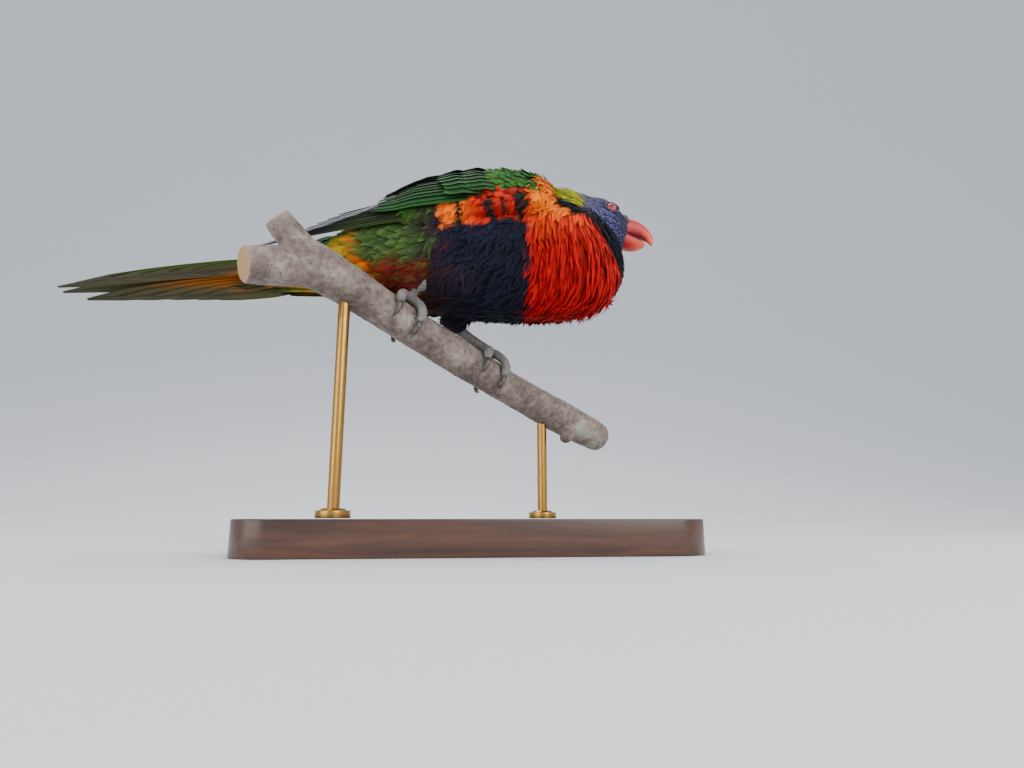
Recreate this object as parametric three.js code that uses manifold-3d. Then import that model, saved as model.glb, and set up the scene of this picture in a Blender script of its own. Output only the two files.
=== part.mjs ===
// Rainbow lorikeet, life size, gripping a short cut length of branch that two brass rods carry over a
// flat wooden base. Millimetres, +Z up, the origin in the middle of the base's underside, the bird
// facing +X. The bird's own frame has x forward along the body, y to its left and z to its back.
import * as THREE from "three";
import { mergeVertices } from "three/addons/utils/BufferGeometryUtils.js";
import Module from "manifold-3d";

const wasm = await Module();
wasm.setup();

// Driving sizes
const GAP = 0.3; // between touching pieces
const BODY_PITCH = 6; // degrees, head end up
const BODY_ROLL = 12; // degrees, right side up, as the bird leans on the sloping branch
const PERCH = { x: -14, z: 94, radius: 8.5, yaw: 32, slope: 20, rear: 78, front: 112 };
const BODY_ABOVE_PERCH = 47;
const BASE = { length: 184, width: 112, height: 14, corner: 16, bevel: 2 };
const ROD = { radius: 2.5, collar: 7, collarHeight: 3, rearAt: -54, frontAt: 68 };
const HEAD = { x: 80, z: 12, yaw: -4, pitch: 4, roll: 14 };
const EYE = { x: 4.6, y: 10.9, z: 3.4, radius: 3.3, lid: 0.7, lidOut: 2 };
const BILL = { x: 14.2, gape: 8 };
const TAIL = { root: -66, z: -2.7, pitch: 3, roll: 12, vane: 9.6, thick: 0.65, step: 0.98 };
const TAIL_PAIRS = [
  { length: 104, y: 2.2 },
  { length: 95, y: 5.2 },
  { length: 82, y: 5.9 },
  { length: 69, y: 6.6 },
  { length: 57, y: 7.2 },
  { length: 46, y: 7.7 },
];
const FOOT = { spacing: 52, toe: 2.3, tarsus: 2.4 };

// Trunk stations: x along the body, the section's centre, half width, and height above and below it
const TRUNK = {
  x: [-68, -60, -46, -26, -4, 20, 42, 60, 74, 84, 90],
  centre: [-3.5, -3, -2.5, -2, 0, 1, 1, 0, -2, -5, -8],
  width: [6.5, 11, 18.5, 26.5, 32, 35, 34.5, 30.5, 23, 14, 3],
  up: [4.5, 8, 14, 21, 27.5, 31.5, 30.5, 25, 17.5, 11.5, 3],
  down: [5, 8.5, 15, 23.5, 31, 36, 38.5, 37.5, 31.5, 20, 4],
};
const NECK = {
  x: [44, 54, 62, 70, 78, 84],
  centre: [4.5, 6.5, 8.5, 10.5, 11.5, 12],
  width: [20, 24, 23, 19.5, 15, 8],
  up: [23, 24.5, 22.6, 19.4, 16, 9],
  down: [16, 20, 22, 21, 16, 8],
};
const SKULL = {
  x: [-19, -16, -11, -4, 3, 9, 13.5, 16],
  centre: [0, 0, 0, 0, -0.3, -0.8, -1.6, -2],
  width: [3, 8, 12, 14.4, 14.3, 11.4, 7.6, 5.2],
  up: [3, 8.5, 13, 16, 15.6, 12.4, 8.4, 5.6],
  down: [3, 8.5, 12.8, 15.6, 15.2, 12.8, 9.4, 6.4],
};
// Folded wing: the shell that it lies on, and the angles of its lower and upper edges round the body
const WING = {
  x: [-92, -70, -45, -20, 5, 24, 38, 48, 54],
  centre: [-1, -1.5, -2, -1.5, 0.4, 1, 1, 1, 1.2],
  width: [8.5, 14.5, 22.6, 30, 34, 35.8, 35.6, 33.8, 31.6],
  up: [8.5, 12, 18.4, 24.8, 30.2, 32.6, 32, 30, 27.6],
  low: [34, 20, 5, -4, -6, -6, -5, -1, 6],
  high: [62, 64, 67, 68, 68, 68, 66, 57, 38],
};

const radians = THREE.MathUtils.degToRad;
const vector = (x, y, z) => new THREE.Vector3(x, y, z);

// A smooth value at x of a table of stations, with the slope at each station from its neighbours.
function smooth(xs, values, x) {
  const n = xs.length;
  const at = Math.min(Math.max(x, xs[0]), xs[n - 1]);
  let i = 0;
  while (i < n - 2 && at > xs[i + 1]) i++;
  const slope = (k) => {
    const a = Math.max(k - 1, 0);
    const b = Math.min(k + 1, n - 1);
    return (values[b] - values[a]) / (xs[b] - xs[a]);
  };
  const span = xs[i + 1] - xs[i];
  const t = (at - xs[i]) / span;
  const t2 = t * t;
  const t3 = t2 * t;
  return (
    (2 * t3 - 3 * t2 + 1) * values[i] +
    (t3 - 2 * t2 + t) * span * slope(i) +
    (3 * t2 - 2 * t3) * values[i + 1] +
    (t3 - t2) * span * slope(i + 1)
  );
}

// A closed surface through rings of points. From ring place `turn` on, the squares are split the other
// way, so that the two faces of a thin vane are split alike. The ends of a bent `plate` are closed from
// face to face, because the middle of its ring may lie outside it.
function loft(rings, turn = Infinity, plate = false) {
  const m = rings[0].length;
  const points = rings.flat();
  const index = [];
  for (let i = 0; i + 1 < rings.length; i++) {
    for (let j = 0; j < m; j++) {
      const a = i * m + j;
      const b = i * m + ((j + 1) % m);
      const c = a + m;
      const d = b + m;
      if (j < turn) index.push(a, b, d, a, d, c);
      else index.push(a, b, c, b, d, c);
    }
  }
  const end = (rings.length - 1) * m;
  for (let j = 0; plate && j + 1 < m / 2; j++) {
    const [k, far, near] = [j + 1, m - 2 - j, m - 1 - j];
    index.push(k, j, near, k, near, far);
    index.push(end + k, end + near, end + j, end + k, end + far, end + near);
  }
  if (plate) return new THREE.BufferGeometry().setFromPoints(points).setIndex(index);
  const middle = (ring) => ring.reduce((s, p) => s.add(p), vector(0, 0, 0)).divideScalar(m);
  const first = points.length;
  const last = first + 1;
  points.push(middle(rings[0]), middle(rings[rings.length - 1]));
  for (let j = 0; j < m; j++) {
    const k = (j + 1) % m;
    index.push(first, k, j, last, end + j, end + k);
  }
  return new THREE.BufferGeometry().setFromPoints(points).setIndex(index);
}

// A closed geometry as a solid, turned face out if its ring ran the other way.
function solid(geometry) {
  const plain = new THREE.BufferGeometry().setAttribute("position", geometry.getAttribute("position"));
  if (geometry.index) plain.setIndex(geometry.index);
  const merged = mergeVertices(plain, 1e-4);
  const triVerts = new Uint32Array(merged.index.array);
  const make = () =>
    new wasm.Manifold(
      new wasm.Mesh({ numProp: 3, vertProperties: merged.attributes.position.array, triVerts }),
    );
  const made = make();
  if (made.volume() > 0) return made;
  for (let i = 0; i < triVerts.length; i += 3) {
    [triVerts[i + 1], triVerts[i + 2]] = [triVerts[i + 2], triVerts[i + 1]];
  }
  return make();
}

const union = (solids) => solids.reduce((a, b) => a.add(b));
const cut = (from, ...others) => others.reduce((a, b) => a.subtract(b), from);
const largest = (s) =>
  s.decompose().reduce((a, b) => (a.volume() > b.volume() ? a : b));

function geometryOf(manifold) {
  const mesh = manifold.getMesh();
  const position = new Float32Array(mesh.numVert * 3);
  for (let i = 0; i < mesh.numVert; i++) {
    position.set(mesh.vertProperties.subarray(i * mesh.numProp, i * mesh.numProp + 3), i * 3);
  }
  return new THREE.BufferGeometry()
    .setAttribute("position", new THREE.BufferAttribute(position, 3))
    .setIndex(new THREE.BufferAttribute(mesh.triVerts, 1));
}

// A solid moved by a three.js matrix.
const moved = (manifold, matrix) => manifold.transform(matrix.elements);

// The half space on one side of a plane, as a large block: side 1 keeps what is past x = at.
function beyond(at, side) {
  const block = new THREE.BoxGeometry(400, 400, 400);
  block.translate(at + side * 200, 0, 0);
  return solid(block);
}

// Sections of trunk, neck and skull: an oval with its own height above and below its centre
function sectionPoint(table, x, angle, grow = 0) {
  const side = Math.sin(angle) > 0 ? table.up : table.down;
  return vector(
    x,
    (smooth(table.x, table.width, x) + grow) * Math.cos(angle),
    smooth(table.x, table.centre, x) + (smooth(table.x, side, x) + grow) * Math.sin(angle),
  );
}

function oval(table, steps, around, grow = 0) {
  const n = table.x.length;
  const from = table.x[0] - grow;
  const to = table.x[n - 1] + grow;
  const rings = [];
  for (let i = 0; i <= steps; i++) {
    const share = 0.5 - 0.5 * Math.cos((Math.PI * i) / steps);
    const x = from + (to - from) * (0.55 * share + 0.45 * (i / steps));
    const ring = [];
    for (let j = 0; j < around; j++) {
      const p = sectionPoint(table, x, (2 * Math.PI * j) / around, grow);
      ring.push(p);
    }
    rings.push(ring);
  }
  return solid(loft(rings));
}

// A thin vane along a line of frames. Each frame has a point, the way along, and the way out of the
// surface. The half widths are shares of `width`, and a ridged vane stands `camber` proud in its middle.
const FEATHER = [0.5, 0.86, 1, 0.9, 0.3];
function vane(frames, width, thickness, shape = FEATHER, camber = 0) {
  const last = frames.length - 1;
  const rings = frames.map(({ point, along, out }, i) => {
    const side = vector(0, 0, 0).crossVectors(out, along).normalize();
    const up = vector(0, 0, 0).crossVectors(along, side).normalize();
    const place = (i / last) * (shape.length - 1);
    const low = Math.floor(Math.min(place, shape.length - 1.001));
    const half = 0.5 * width * THREE.MathUtils.lerp(shape[low], shape[low + 1], place - low);
    const thick = 0.5 * (i === last ? 0.7 * thickness : thickness);
    const rise = camber * half;
    const at = (s, u) => point.clone().addScaledVector(side, s).addScaledVector(up, u);
    const top = [at(-half, thick - rise), at(0, thick + rise), at(half, thick - rise)];
    const under = [at(half, -thick - rise), at(0, -thick + rise), at(-half, -thick - rise)];
    return camber ? [...top, ...under] : [top[0], top[2], under[0], under[2]];
  });
  return solid(loft(rings, camber ? 3 : 2));
}

// Frames along a curve given by a function of t from 0 to 1, with its own way out at each place.
function framesOn(place, outward, steps) {
  const frames = [];
  for (let i = 0; i <= steps; i++) {
    const t = i / steps;
    const before = place(Math.max(t - 0.02, 0));
    const after = place(Math.min(t + 0.02, 1));
    frames.push({ point: place(t), along: after.sub(before).normalize(), out: outward(t) });
  }
  return frames;
}

// A round limb along a smooth curve, with its radius at each place along it.
function limb(points, radii, steps, around, flat = 1) {
  const curve = new THREE.CatmullRomCurve3(points, false, "centripetal");
  const frames = curve.computeFrenetFrames(steps, false);
  const places = radii.map((_, i) => i / (radii.length - 1));
  const rings = [];
  for (let i = 0; i <= steps; i++) {
    const t = i / steps;
    const centre = curve.getPointAt(t);
    const radius = smooth(places, radii, t);
    const ring = [];
    for (let j = 0; j < around; j++) {
      const a = (2 * Math.PI * j) / around;
      ring.push(
        centre
          .clone()
          .addScaledVector(frames.normals[i], radius * Math.cos(a) * flat)
          .addScaledVector(frames.binormals[i], radius * Math.sin(a)),
      );
    }
    rings.push(ring);
  }
  return solid(loft(rings));
}

// A repeatable draw from 0 to 1, for the small differences between feathers
function drawer(seed) {
  let state = seed;
  return () => {
    state = (state * 1664525 + 1013904223) % 4294967296;
    return state / 4294967296;
  };
}

// Places of the bird, its head and its tail
const birdMatrix = new THREE.Matrix4()
  .makeTranslation(PERCH.x, 0, PERCH.z + BODY_ABOVE_PERCH)
  .multiply(new THREE.Matrix4().makeRotationY(-radians(BODY_PITCH)))
  .multiply(new THREE.Matrix4().makeRotationX(-radians(BODY_ROLL)));
const rowToBird = birdMatrix.clone().invert();
// The head's turn is told from the level, so it first undoes the bird's own.
const headTurn = new THREE.Matrix4()
  .extractRotation(rowToBird)
  .multiply(new THREE.Matrix4().makeRotationZ(radians(HEAD.yaw)))
  .multiply(new THREE.Matrix4().makeRotationY(radians(HEAD.pitch)))
  .multiply(new THREE.Matrix4().makeRotationX(-radians(HEAD.roll)));
const headMatrix = new THREE.Matrix4().makeTranslation(HEAD.x, 0, HEAD.z).multiply(headTurn);
const tailMatrix = new THREE.Matrix4()
  .makeTranslation(TAIL.root, 0, TAIL.z)
  .multiply(new THREE.Matrix4().makeRotationY(-radians(TAIL.pitch)))
  .multiply(new THREE.Matrix4().makeRotationX(-radians(TAIL.roll)));

// Flesh: trunk, neck and head as one form, then parted across
const trunkSolid = oval(TRUNK, 16, 24);
const neckSolid = oval(NECK, 7, 22);
const headSolid = moved(oval(SKULL, 10, 22), headMatrix);
const trunkGrown = oval(TRUNK, 16, 24, GAP);
const neckGrown = oval(NECK, 7, 22, GAP);
const headGrown = moved(oval(SKULL, 10, 22, GAP), headMatrix);

// The outside of the folded wing at x, a share t of the way from its lower to its upper edge, and h
// out from the shell. side is -1 for the right wing and 1 for the left.
function wingPoint(x, t, h, side) {
  const from = radians(smooth(WING.x, WING.low, x));
  const to = radians(smooth(WING.x, WING.high, x));
  const angle = from + (to - from) * t;
  return vector(
    x,
    side * (smooth(WING.x, WING.width, x) + h) * Math.cos(angle),
    smooth(WING.x, WING.centre, x) + (smooth(WING.x, WING.up, x) + h) * Math.sin(angle),
  );
}

// The way out of the wing at (x, t), leaned so that each feather's lower edge lies over the next one.
const SHINGLE = Math.tan(radians(10));
function wingOut(x, t, side) {
  const across = wingPoint(x, t + 0.02, 0, side).sub(wingPoint(x, t - 0.02, 0, side)).normalize();
  const along = wingPoint(x + 1, t, 0, side).sub(wingPoint(x - 1, t, 0, side)).normalize();
  const out = across.clone().cross(along).multiplyScalar(side).normalize();
  return out.addScaledVector(across, SHINGLE).normalize();
}

// Thickness of the wing's arm at (x, t), which the feathers grow from
const ARM = { rear: -20, front: 53, thick: 2.4 };
function armHeight(x, t) {
  const share = THREE.MathUtils.clamp((x - ARM.rear) / (ARM.front - ARM.rear), 0, 1);
  return 0.5 + ARM.thick * Math.sin(Math.PI * share) ** 0.6 * (0.5 + 0.5 * Math.sin(Math.PI * t));
}

// One wing feather from (x, t) at its root to (x, t) at its tip. It rises from within the arm.
function wingVane(side, root, tip, width, rise, steps, slow = 1.6) {
  const at = (k) => [root.x + (tip.x - root.x) * k, root.t + (tip.t - root.t) * k];
  const place = (k) => {
    const [x, t] = at(k);
    const lift = THREE.MathUtils.lerp(rise[0], rise[1], Math.min(1, slow * k));
    return wingPoint(x, t, armHeight(x, t) + lift, side);
  };
  const outward = (k) => wingOut(...at(k), side);
  return vane(framesOn(place, outward, steps), width, 0.6);
}

// The wing's arm under its feathers, a plate that hugs the body and thins to its edges
function wingArm(side) {
  const rings = [];
  const steps = 8;
  for (let i = 0; i <= steps; i++) {
    const x = ARM.rear + (ARM.front - ARM.rear) * (i / steps);
    const inset = 0.1 * Math.abs((2 * i) / steps - 1) ** 3;
    const share = (k) => inset + (1 - 2 * inset) * k;
    const outer = [0.02, 0.25, 0.5, 0.75, 0.98].map((k) =>
      wingPoint(x, share(k), armHeight(x, share(k)), side),
    );
    const inner = [0.96, 0.73, 0.5, 0.27, 0.04].map((k) => wingPoint(x, share(k), -0.4, side));
    rings.push([...outer, ...inner]);
  }
  return solid(loft(rings, Infinity, true));
}

function wing(side) {
  const draw = drawer(side > 0 ? 11 : 29);
  const jitter = (size) => (draw() - 0.5) * size;
  const feathers = [];
  // Primaries: the longest lies lowest and reaches furthest back
  for (let i = 0; i < 5; i++) {
    const tip = { x: -90 + 10 * i + jitter(1.5), t: 0.28 + 0.09 * i };
    const root = { x: 4 + i, t: 0.12 + 0.05 * i };
    feathers.push(wingVane(side, root, tip, 9.5, [-0.9, -1.9 + 0.95 * i], 4, 1));
  }
  // Secondaries, then the broad tertials next to the back
  for (let i = 0; i < 5; i++) {
    const root = { x: 14, t: 0.2 + 0.11 * i };
    const tip = { x: -33 + 2 * i + jitter(1.5), t: 0.26 + 0.12 * i };
    feathers.push(wingVane(side, root, tip, 10.5, [-0.9, 2.6 + 0.1 * i], 3));
  }
  for (let i = 0; i < 2; i++) {
    const root = { x: 18, t: 0.74 + 0.13 * i };
    const tip = { x: -24 + 8 * i + jitter(1.5), t: 0.8 + 0.11 * i };
    feathers.push(wingVane(side, root, tip, 12, [-0.8, 3.6 + 0.2 * i], 3));
  }
  // Three tiers of coverts, each tier over the roots of the tier behind it
  const tiers = [
    { count: 5, root: 23, tip: 2, width: 12, rise: [-1.6, 3.3] },
    { count: 5, root: 36, tip: 16, width: 12, rise: [-1.6, 2] },
    { count: 4, root: 48, tip: 30, width: 12, rise: [-1.6, 1.8] },
  ];
  tiers.forEach(({ count, root, tip, width, rise }, tier) => {
    for (let i = 0; i < count; i++) {
      const t = 0.08 + (0.82 * (i + (tier % 2 ? 0.3 : 0))) / (count - 0.7);
      const back = 5 * Math.sin(Math.PI * t) + jitter(1.5);
      const from = { x: root - back, t };
      feathers.push(wingVane(side, from, { x: tip - back, t }, width, rise, 2));
    }
  });
  return cut(union([wingArm(side), ...feathers]), trunkGrown);
}

// Tail feathers, graduated from the long middle pair down to the short outer pair that lies lowest.
// Each pair lies a clear step under the pair before it, and they join only at the root.
const tailSag = (x) => -2.6 * (x / 100) ** 2;
function tailHeight(pair, x, y) {
  return -TAIL.step * pair - 0.1 * Math.abs(y) - (pair ? 0.9 : 0) + tailSag(x);
}

function tailFeathers() {
  const feathers = [];
  TAIL_PAIRS.forEach(({ length, y }, pair) => {
    for (const side of [-1, 1]) {
      const place = (t) => {
        const spread = y * (0.72 + 0.28 * Math.sin(Math.PI * Math.min(1.2 * t, 0.5)));
        const lap = pair === 0 && side > 0 ? 0.98 : 0;
        const x = 2 - (length + 2) * t;
        return vector(x, side * spread, tailHeight(pair, x, spread) + lap);
      };
      const outward = () => vector(0, side * 0.1, 1).normalize();
      const shape = pair === 0 ? [0.7, 0.95, 0.9, 0.68, 0.14] : [0.66, 0.9, 1, 0.84, 0.26];
      feathers.push(vane(framesOn(place, outward, 3), TAIL.vane, TAIL.thick, shape, 0.05));
    }
  });
  return feathers;
}

const behindRoot = (grow) => moved(beyond(-grow, -1), tailMatrix);
function tail() {
  const block = new THREE.SphereGeometry(1, 12, 8);
  block.scale(9, 6.8, 4.4);
  block.translate(-3, 0, -2);
  return moved(union([solid(block), ...tailFeathers()]), tailMatrix).intersect(behindRoot(GAP));
}

// Coverts of the rump, the long soft feathers that lie over and under the root of the tail. Each runs
// from the rump's surface at (x, angle) to a place in the tail's own frame, clear of its feathers.
function rumpCovert(x, angle, tip, width) {
  const root = sectionPoint(TRUNK, x, angle, -3);
  const near = sectionPoint(TRUNK, x - 5, angle, 1.3);
  const end = vector(...tip).applyMatrix4(tailMatrix);
  const over = vector(0.35 * tip[0], tip[1] * 1.05, tip[2] * 1.12).applyMatrix4(tailMatrix);
  const curve = new THREE.CatmullRomCurve3([root, near, over, end], false, "centripetal");
  const outward = () => vector(0.1, Math.cos(angle + 0.15), Math.sin(angle + 0.15)).normalize();
  return vane(framesOn((k) => curve.getPoint(k), outward, 3), width, 0.7, [0.7, 1, 0.9, 0.25]);
}

function rumpCoverts() {
  const feathers = [];
  const under = [
    { count: 3, x: -46, reach: 13, width: 11.5, spread: 84, y: 14, z: -12.2 },
    { count: 3, x: -52, reach: 24, width: 9.5, spread: 72, y: 11, z: -11 },
    { count: 2, x: -58, reach: 34, width: 8.5, spread: 30, y: 7, z: -10 },
  ];
  for (const { count, x, reach, width, spread, y, z } of under) {
    for (let i = 0; i < count; i++) {
      const share = i / (count - 1) - 0.5;
      const angle = radians(-90 - 0.9 * TAIL.roll + spread * share);
      const tip = [-reach * (1 - 0.5 * share * share), y * share, z + 6 * share * share];
      feathers.push(rumpCovert(x, angle, tip, width));
    }
  }
  for (let i = 0; i < 3; i++) {
    const share = i / 2 - 0.5;
    const tip = [-26 + 10 * share * share, -11 * share, 3.9 - 5 * share * share];
    feathers.push(rumpCovert(-54, radians(90 - 0.9 * TAIL.roll + 76 * share), tip, 10));
  }
  return feathers;
}

// The shaggy ruff of the breast: flat tapered plumes that hang from the front and bend under it
function ruff() {
  const draw = drawer(7);
  const plumes = [];
  const rows = [
    { x: 85, count: 5, spread: 134, reach: 23 },
    { x: 78, count: 7, spread: 150, reach: 25 },
    { x: 70, count: 7, spread: 160, reach: 26 },
    { x: 61, count: 7, spread: 154, reach: 24 },
  ];
  rows.forEach(({ x, count, spread, reach }, row) => {
    for (let i = 0; i < count; i++) {
      const share = (i + (row % 2 ? 0.65 : 0.35)) / count - 0.5;
      const angle = radians(-90 + spread * share + 5 * (draw() - 0.5));
      const length = reach * (0.85 + 0.3 * draw());
      const stand = 2.2 + 3 * draw();
      const bend = radians(9 * (draw() - 0.5));
      const place = (k) => {
        const way = angle + bend * k;
        const rise = k * (2 - k);
        const p = sectionPoint(TRUNK, x - 0.62 * length * k, way, -3 + (stand + 3) * rise);
        return p.add(vector(-0.1 * length * k * k, 0, 0));
      };
      const outward = () => vector(0.35, Math.cos(angle + 0.2), Math.sin(angle + 0.2)).normalize();
      plumes.push(vane(framesOn(place, outward, 3), 8.4, 0.8, [0.8, 1, 0.7, 0.1]));
    }
  });
  return plumes;
}

// Thighs: feathered bulges low on the flanks that narrow towards the feet
function thigh(side, heel) {
  return limb(
    [vector(10, side * 15, -14), vector(4, side * 15.5, -24), heel],
    [9, 10, 4],
    6,
    12,
  );
}

// The branch and the frame of its round section
const perchAlong = vector(
  Math.cos(radians(PERCH.yaw)) * Math.cos(radians(PERCH.slope)),
  Math.sin(radians(PERCH.yaw)) * Math.cos(radians(PERCH.slope)),
  -Math.sin(radians(PERCH.slope)),
);
const perchUp = vector(0, 0, 1).addScaledVector(perchAlong, -perchAlong.z).normalize();
const perchSide = vector(0, 0, 0).crossVectors(perchAlong, perchUp); // forward and to the bird's right
const perchCentre = vector(PERCH.x, 0, PERCH.z);
function onPerch(along, angle, distance) {
  return perchCentre
    .clone()
    .addScaledVector(perchAlong, along)
    .addScaledVector(perchUp, Math.cos(angle) * distance)
    .addScaledVector(perchSide, Math.sin(angle) * distance);
}

function branch(grow = 0) {
  const r = PERCH.radius + grow;
  const around = 14;
  const trunk = limb(
    [
      onPerch(-PERCH.rear - grow, 2.2, 2),
      onPerch(-52, 0, 0.6),
      onPerch(-24, 0, 0),
      onPerch(24, 0, 0),
      onPerch(58, 1.4, 1.2),
      onPerch(PERCH.front + grow, 1.2, 5),
    ],
    [r + 1.6, r + 0.3, r, r, r - 0.4, r + 0.3, r - 0.5],
    12,
    around,
  );
  // The fork at the rear, where two arms were sawn short, and a snapped twig near the front
  const fork = onPerch(-PERCH.rear + 9, 2.2, 2);
  const arm = (way, length, radius) =>
    limb(
      [0, length * 0.5, length + grow].map((run) => fork.clone().addScaledVector(way, run)),
      [r - 0.6, radius + 0.8 + grow, radius + grow],
      3,
      12,
    );
  const twigRoot = onPerch(88, 1.9, 2);
  const twigTip = onPerch(80, 2.5, 16 + grow);
  const twig = limb([twigRoot, onPerch(85, 2.2, 9), twigTip], [5 + grow, 4 + grow, 3 + grow], 3, 8);
  return union([
    trunk,
    arm(vector(-0.82, -0.5, -0.2).normalize(), 30, 7.4),
    arm(vector(-0.62, -0.4, 0.7).normalize(), 25, 5.6),
    twig,
  ]);
}
const branchSolid = branch();
const branchGrown = branch(GAP);

// Feet: a short tarsus and four toes, two round each side of the branch
const TOES = [
  { name: "inner_front", turn: 78, shift: -6.5, side: 1 },
  { name: "outer_front", turn: 98, shift: 5.5, side: 1 },
  { name: "inner_rear", turn: 62, shift: -6, side: -1 },
  { name: "outer_rear", turn: 92, shift: 6, side: -1 },
];
const toeRing = PERCH.radius + FOOT.toe + GAP;

function toePoint(along, toe, share, lift = 0) {
  const angle = radians(toe.side * toe.turn * share);
  return onPerch(along + toe.shift * Math.min(1, share * 1.6), angle, toeRing + lift);
}

function toeSolid(along, toe) {
  const shares = [0, 0.25, 0.5, 0.75, 1];
  const r = FOOT.toe;
  return limb(
    shares.map((s) => toePoint(along, toe, s, s === 0 ? 0.8 : 0)),
    [r, r * 0.98, r * 0.9, r * 0.94, r * 0.72],
    6,
    7,
  );
}

// A claw goes on from the flat end of its toe, arches up a little, then points into the bark.
const CLAW = { reach: 42, radii: [1.5, 1.35, 0.95, 0.25], lifts: [0, 0.7, 0.4, -1.3] };
function clawSolid(along, toe) {
  const from = 1 + 0.45 / (toeRing * radians(toe.turn));
  const step = CLAW.reach / toe.turn / 3;
  const points = CLAW.lifts.map((lift, i) => toePoint(along, toe, from + step * i, lift));
  return limb(points, CLAW.radii, 5, 6);
}

function legPieces(side) {
  const along = (side < 0 ? -1 : 1) * (FOOT.spacing / 2);
  const knuckle = onPerch(along, radians(-3), toeRing + 1);
  const hip = vector(2, side * 19, -24).applyMatrix4(birdMatrix);
  const heel = knuckle.clone().lerp(hip, 0.55).add(vector(-3.5, 0, 0));
  const heelInBird = heel.clone().applyMatrix4(rowToBird);
  const thighSolid = thigh(side, heelInBird);
  const thighRow = moved(thighSolid, birdMatrix);
  const claws = TOES.map((toe) => ({ toe, solid: cut(clawSolid(along, toe), branchGrown) }));
  const r = FOOT.tarsus;
  const tarsus = limb([knuckle, knuckle.clone().lerp(heel, 0.5), heel], [r + 0.5, r, r + 0.5], 3, 8);
  const foot = union([tarsus, ...TOES.map((toe) => toeSolid(along, toe))]);
  return { thighSolid, thighRow, foot, claws };
}

const rightLeg = legPieces(-1);
const leftLeg = legPieces(1);
const trunkGrownRow = moved(trunkGrown, birdMatrix);

// Skull fittings: eyes in their sockets, the cere, the two mandibles and the tongue
const eyeBall = (side, radius) => {
  const ball = new THREE.SphereGeometry(radius, 14, 8);
  ball.translate(EYE.x, side * EYE.y, EYE.z);
  return solid(ball);
};

function lidRing(side) {
  const ring = new THREE.TorusGeometry(EYE.radius + 0.1, EYE.lid, 6, 14);
  ring.rotateX(Math.PI / 2);
  ring.rotateX(side * radians(10));
  ring.rotateZ(side * radians(-13));
  ring.translate(EYE.x + 0.4, side * (EYE.y + EYE.lidOut), EYE.z + 0.3);
  return solid(ring);
}

// The upper mandible, with its ridge curving down to the hook
const UPPER = {
  points: [
    vector(-3, 0, 1),
    vector(3, 0, 1.4),
    vector(8, 0, 0.2),
    vector(12.2, 0, -3),
    vector(14.2, 0, -7.8),
  ],
  high: [5.6, 5.2, 4.2, 2.7, 0.35],
  wide: [5.6, 5, 3.9, 2.2, 0.4],
};
const LOWER = {
  points: [vector(-3.5, 0, -5.8), vector(1, 0, -6.9), vector(5.6, 0, -7.4), vector(10.6, 0, -6.1)],
  high: [3.6, 3.7, 2.9, 1.1],
  wide: [5, 4.8, 3.9, 1.8],
  scoop: 0.75,
};

// One mandible, whose upper face may be scooped out between its rims
function mandible({ points, high, wide, scoop = 0 }, grow = 0) {
  const curve = new THREE.CatmullRomCurve3(points);
  const places = high.map((_, i) => i / (high.length - 1));
  const steps = 9;
  const rings = [];
  for (let i = 0; i <= steps; i++) {
    const t = i / steps;
    const centre = curve.getPoint(t);
    const along = curve.getTangent(t);
    const up = vector(-along.z, 0, along.x).normalize();
    const h = smooth(places, high, t) + grow;
    const w = smooth(places, wide, t) + grow;
    const ring = [];
    for (let j = 0; j < 14; j++) {
      const a = (2 * Math.PI * j) / 14;
      const out = Math.sin(a);
      const hollow = out > 0 ? 1 - scoop * out ** 4 : 1;
      const flat = Math.sign(out) * Math.abs(out) ** 0.85 * hollow;
      ring.push(centre.clone().addScaledVector(up, h * flat).add(vector(0, w * Math.cos(a), 0)));
    }
    rings.push(ring);
  }
  return solid(loft(rings));
}

const billMatrix = headMatrix.clone().multiply(new THREE.Matrix4().makeTranslation(BILL.x, 0, 0));
const lowerMatrix = billMatrix
  .clone()
  .multiply(new THREE.Matrix4().makeTranslation(-2, 0, -4))
  .multiply(new THREE.Matrix4().makeRotationY(radians(BILL.gape)))
  .multiply(new THREE.Matrix4().makeTranslation(2, 0, 4));

function billPieces() {
  const upperGrown = moved(mandible(UPPER, GAP), billMatrix);
  const lowerGrown = moved(mandible(LOWER, GAP), lowerMatrix);
  const upper = cut(moved(mandible(UPPER), billMatrix), headGrown);
  const lower = cut(moved(mandible(LOWER), lowerMatrix), headGrown, upperGrown);
  const nostrils = [-1, 1].map((side) => {
    const pit = new THREE.SphereGeometry(0.8, 8, 6);
    pit.translate(0.9, side * 3, 7.2);
    return moved(solid(pit), billMatrix);
  });
  const cereForm = new THREE.SphereGeometry(1, 14, 8);
  cereForm.scale(3, 6.8, 7.6);
  cereForm.translate(-0.6, 0, 1.4);
  const topOnly = new THREE.BoxGeometry(12, 20, 12);
  topOnly.translate(0, 0, 6.8);
  const cere = cut(
    moved(solid(cereForm).intersect(solid(topOnly)), billMatrix),
    headGrown,
    upperGrown,
    ...nostrils,
  );
  const tongueForm = new THREE.SphereGeometry(1, 10, 6);
  tongueForm.scale(5, 2, 0.9);
  tongueForm.translate(2.4, 0, -4.5);
  const tongueRoot = billMatrix.clone().multiply(new THREE.Matrix4().makeRotationY(radians(5)));
  const tongue = cut(moved(solid(tongueForm), tongueRoot), headGrown, upperGrown, lowerGrown);
  return { upper: largest(upper), lower: largest(lower), cere: largest(cere), tongue: largest(tongue) };
}

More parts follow.
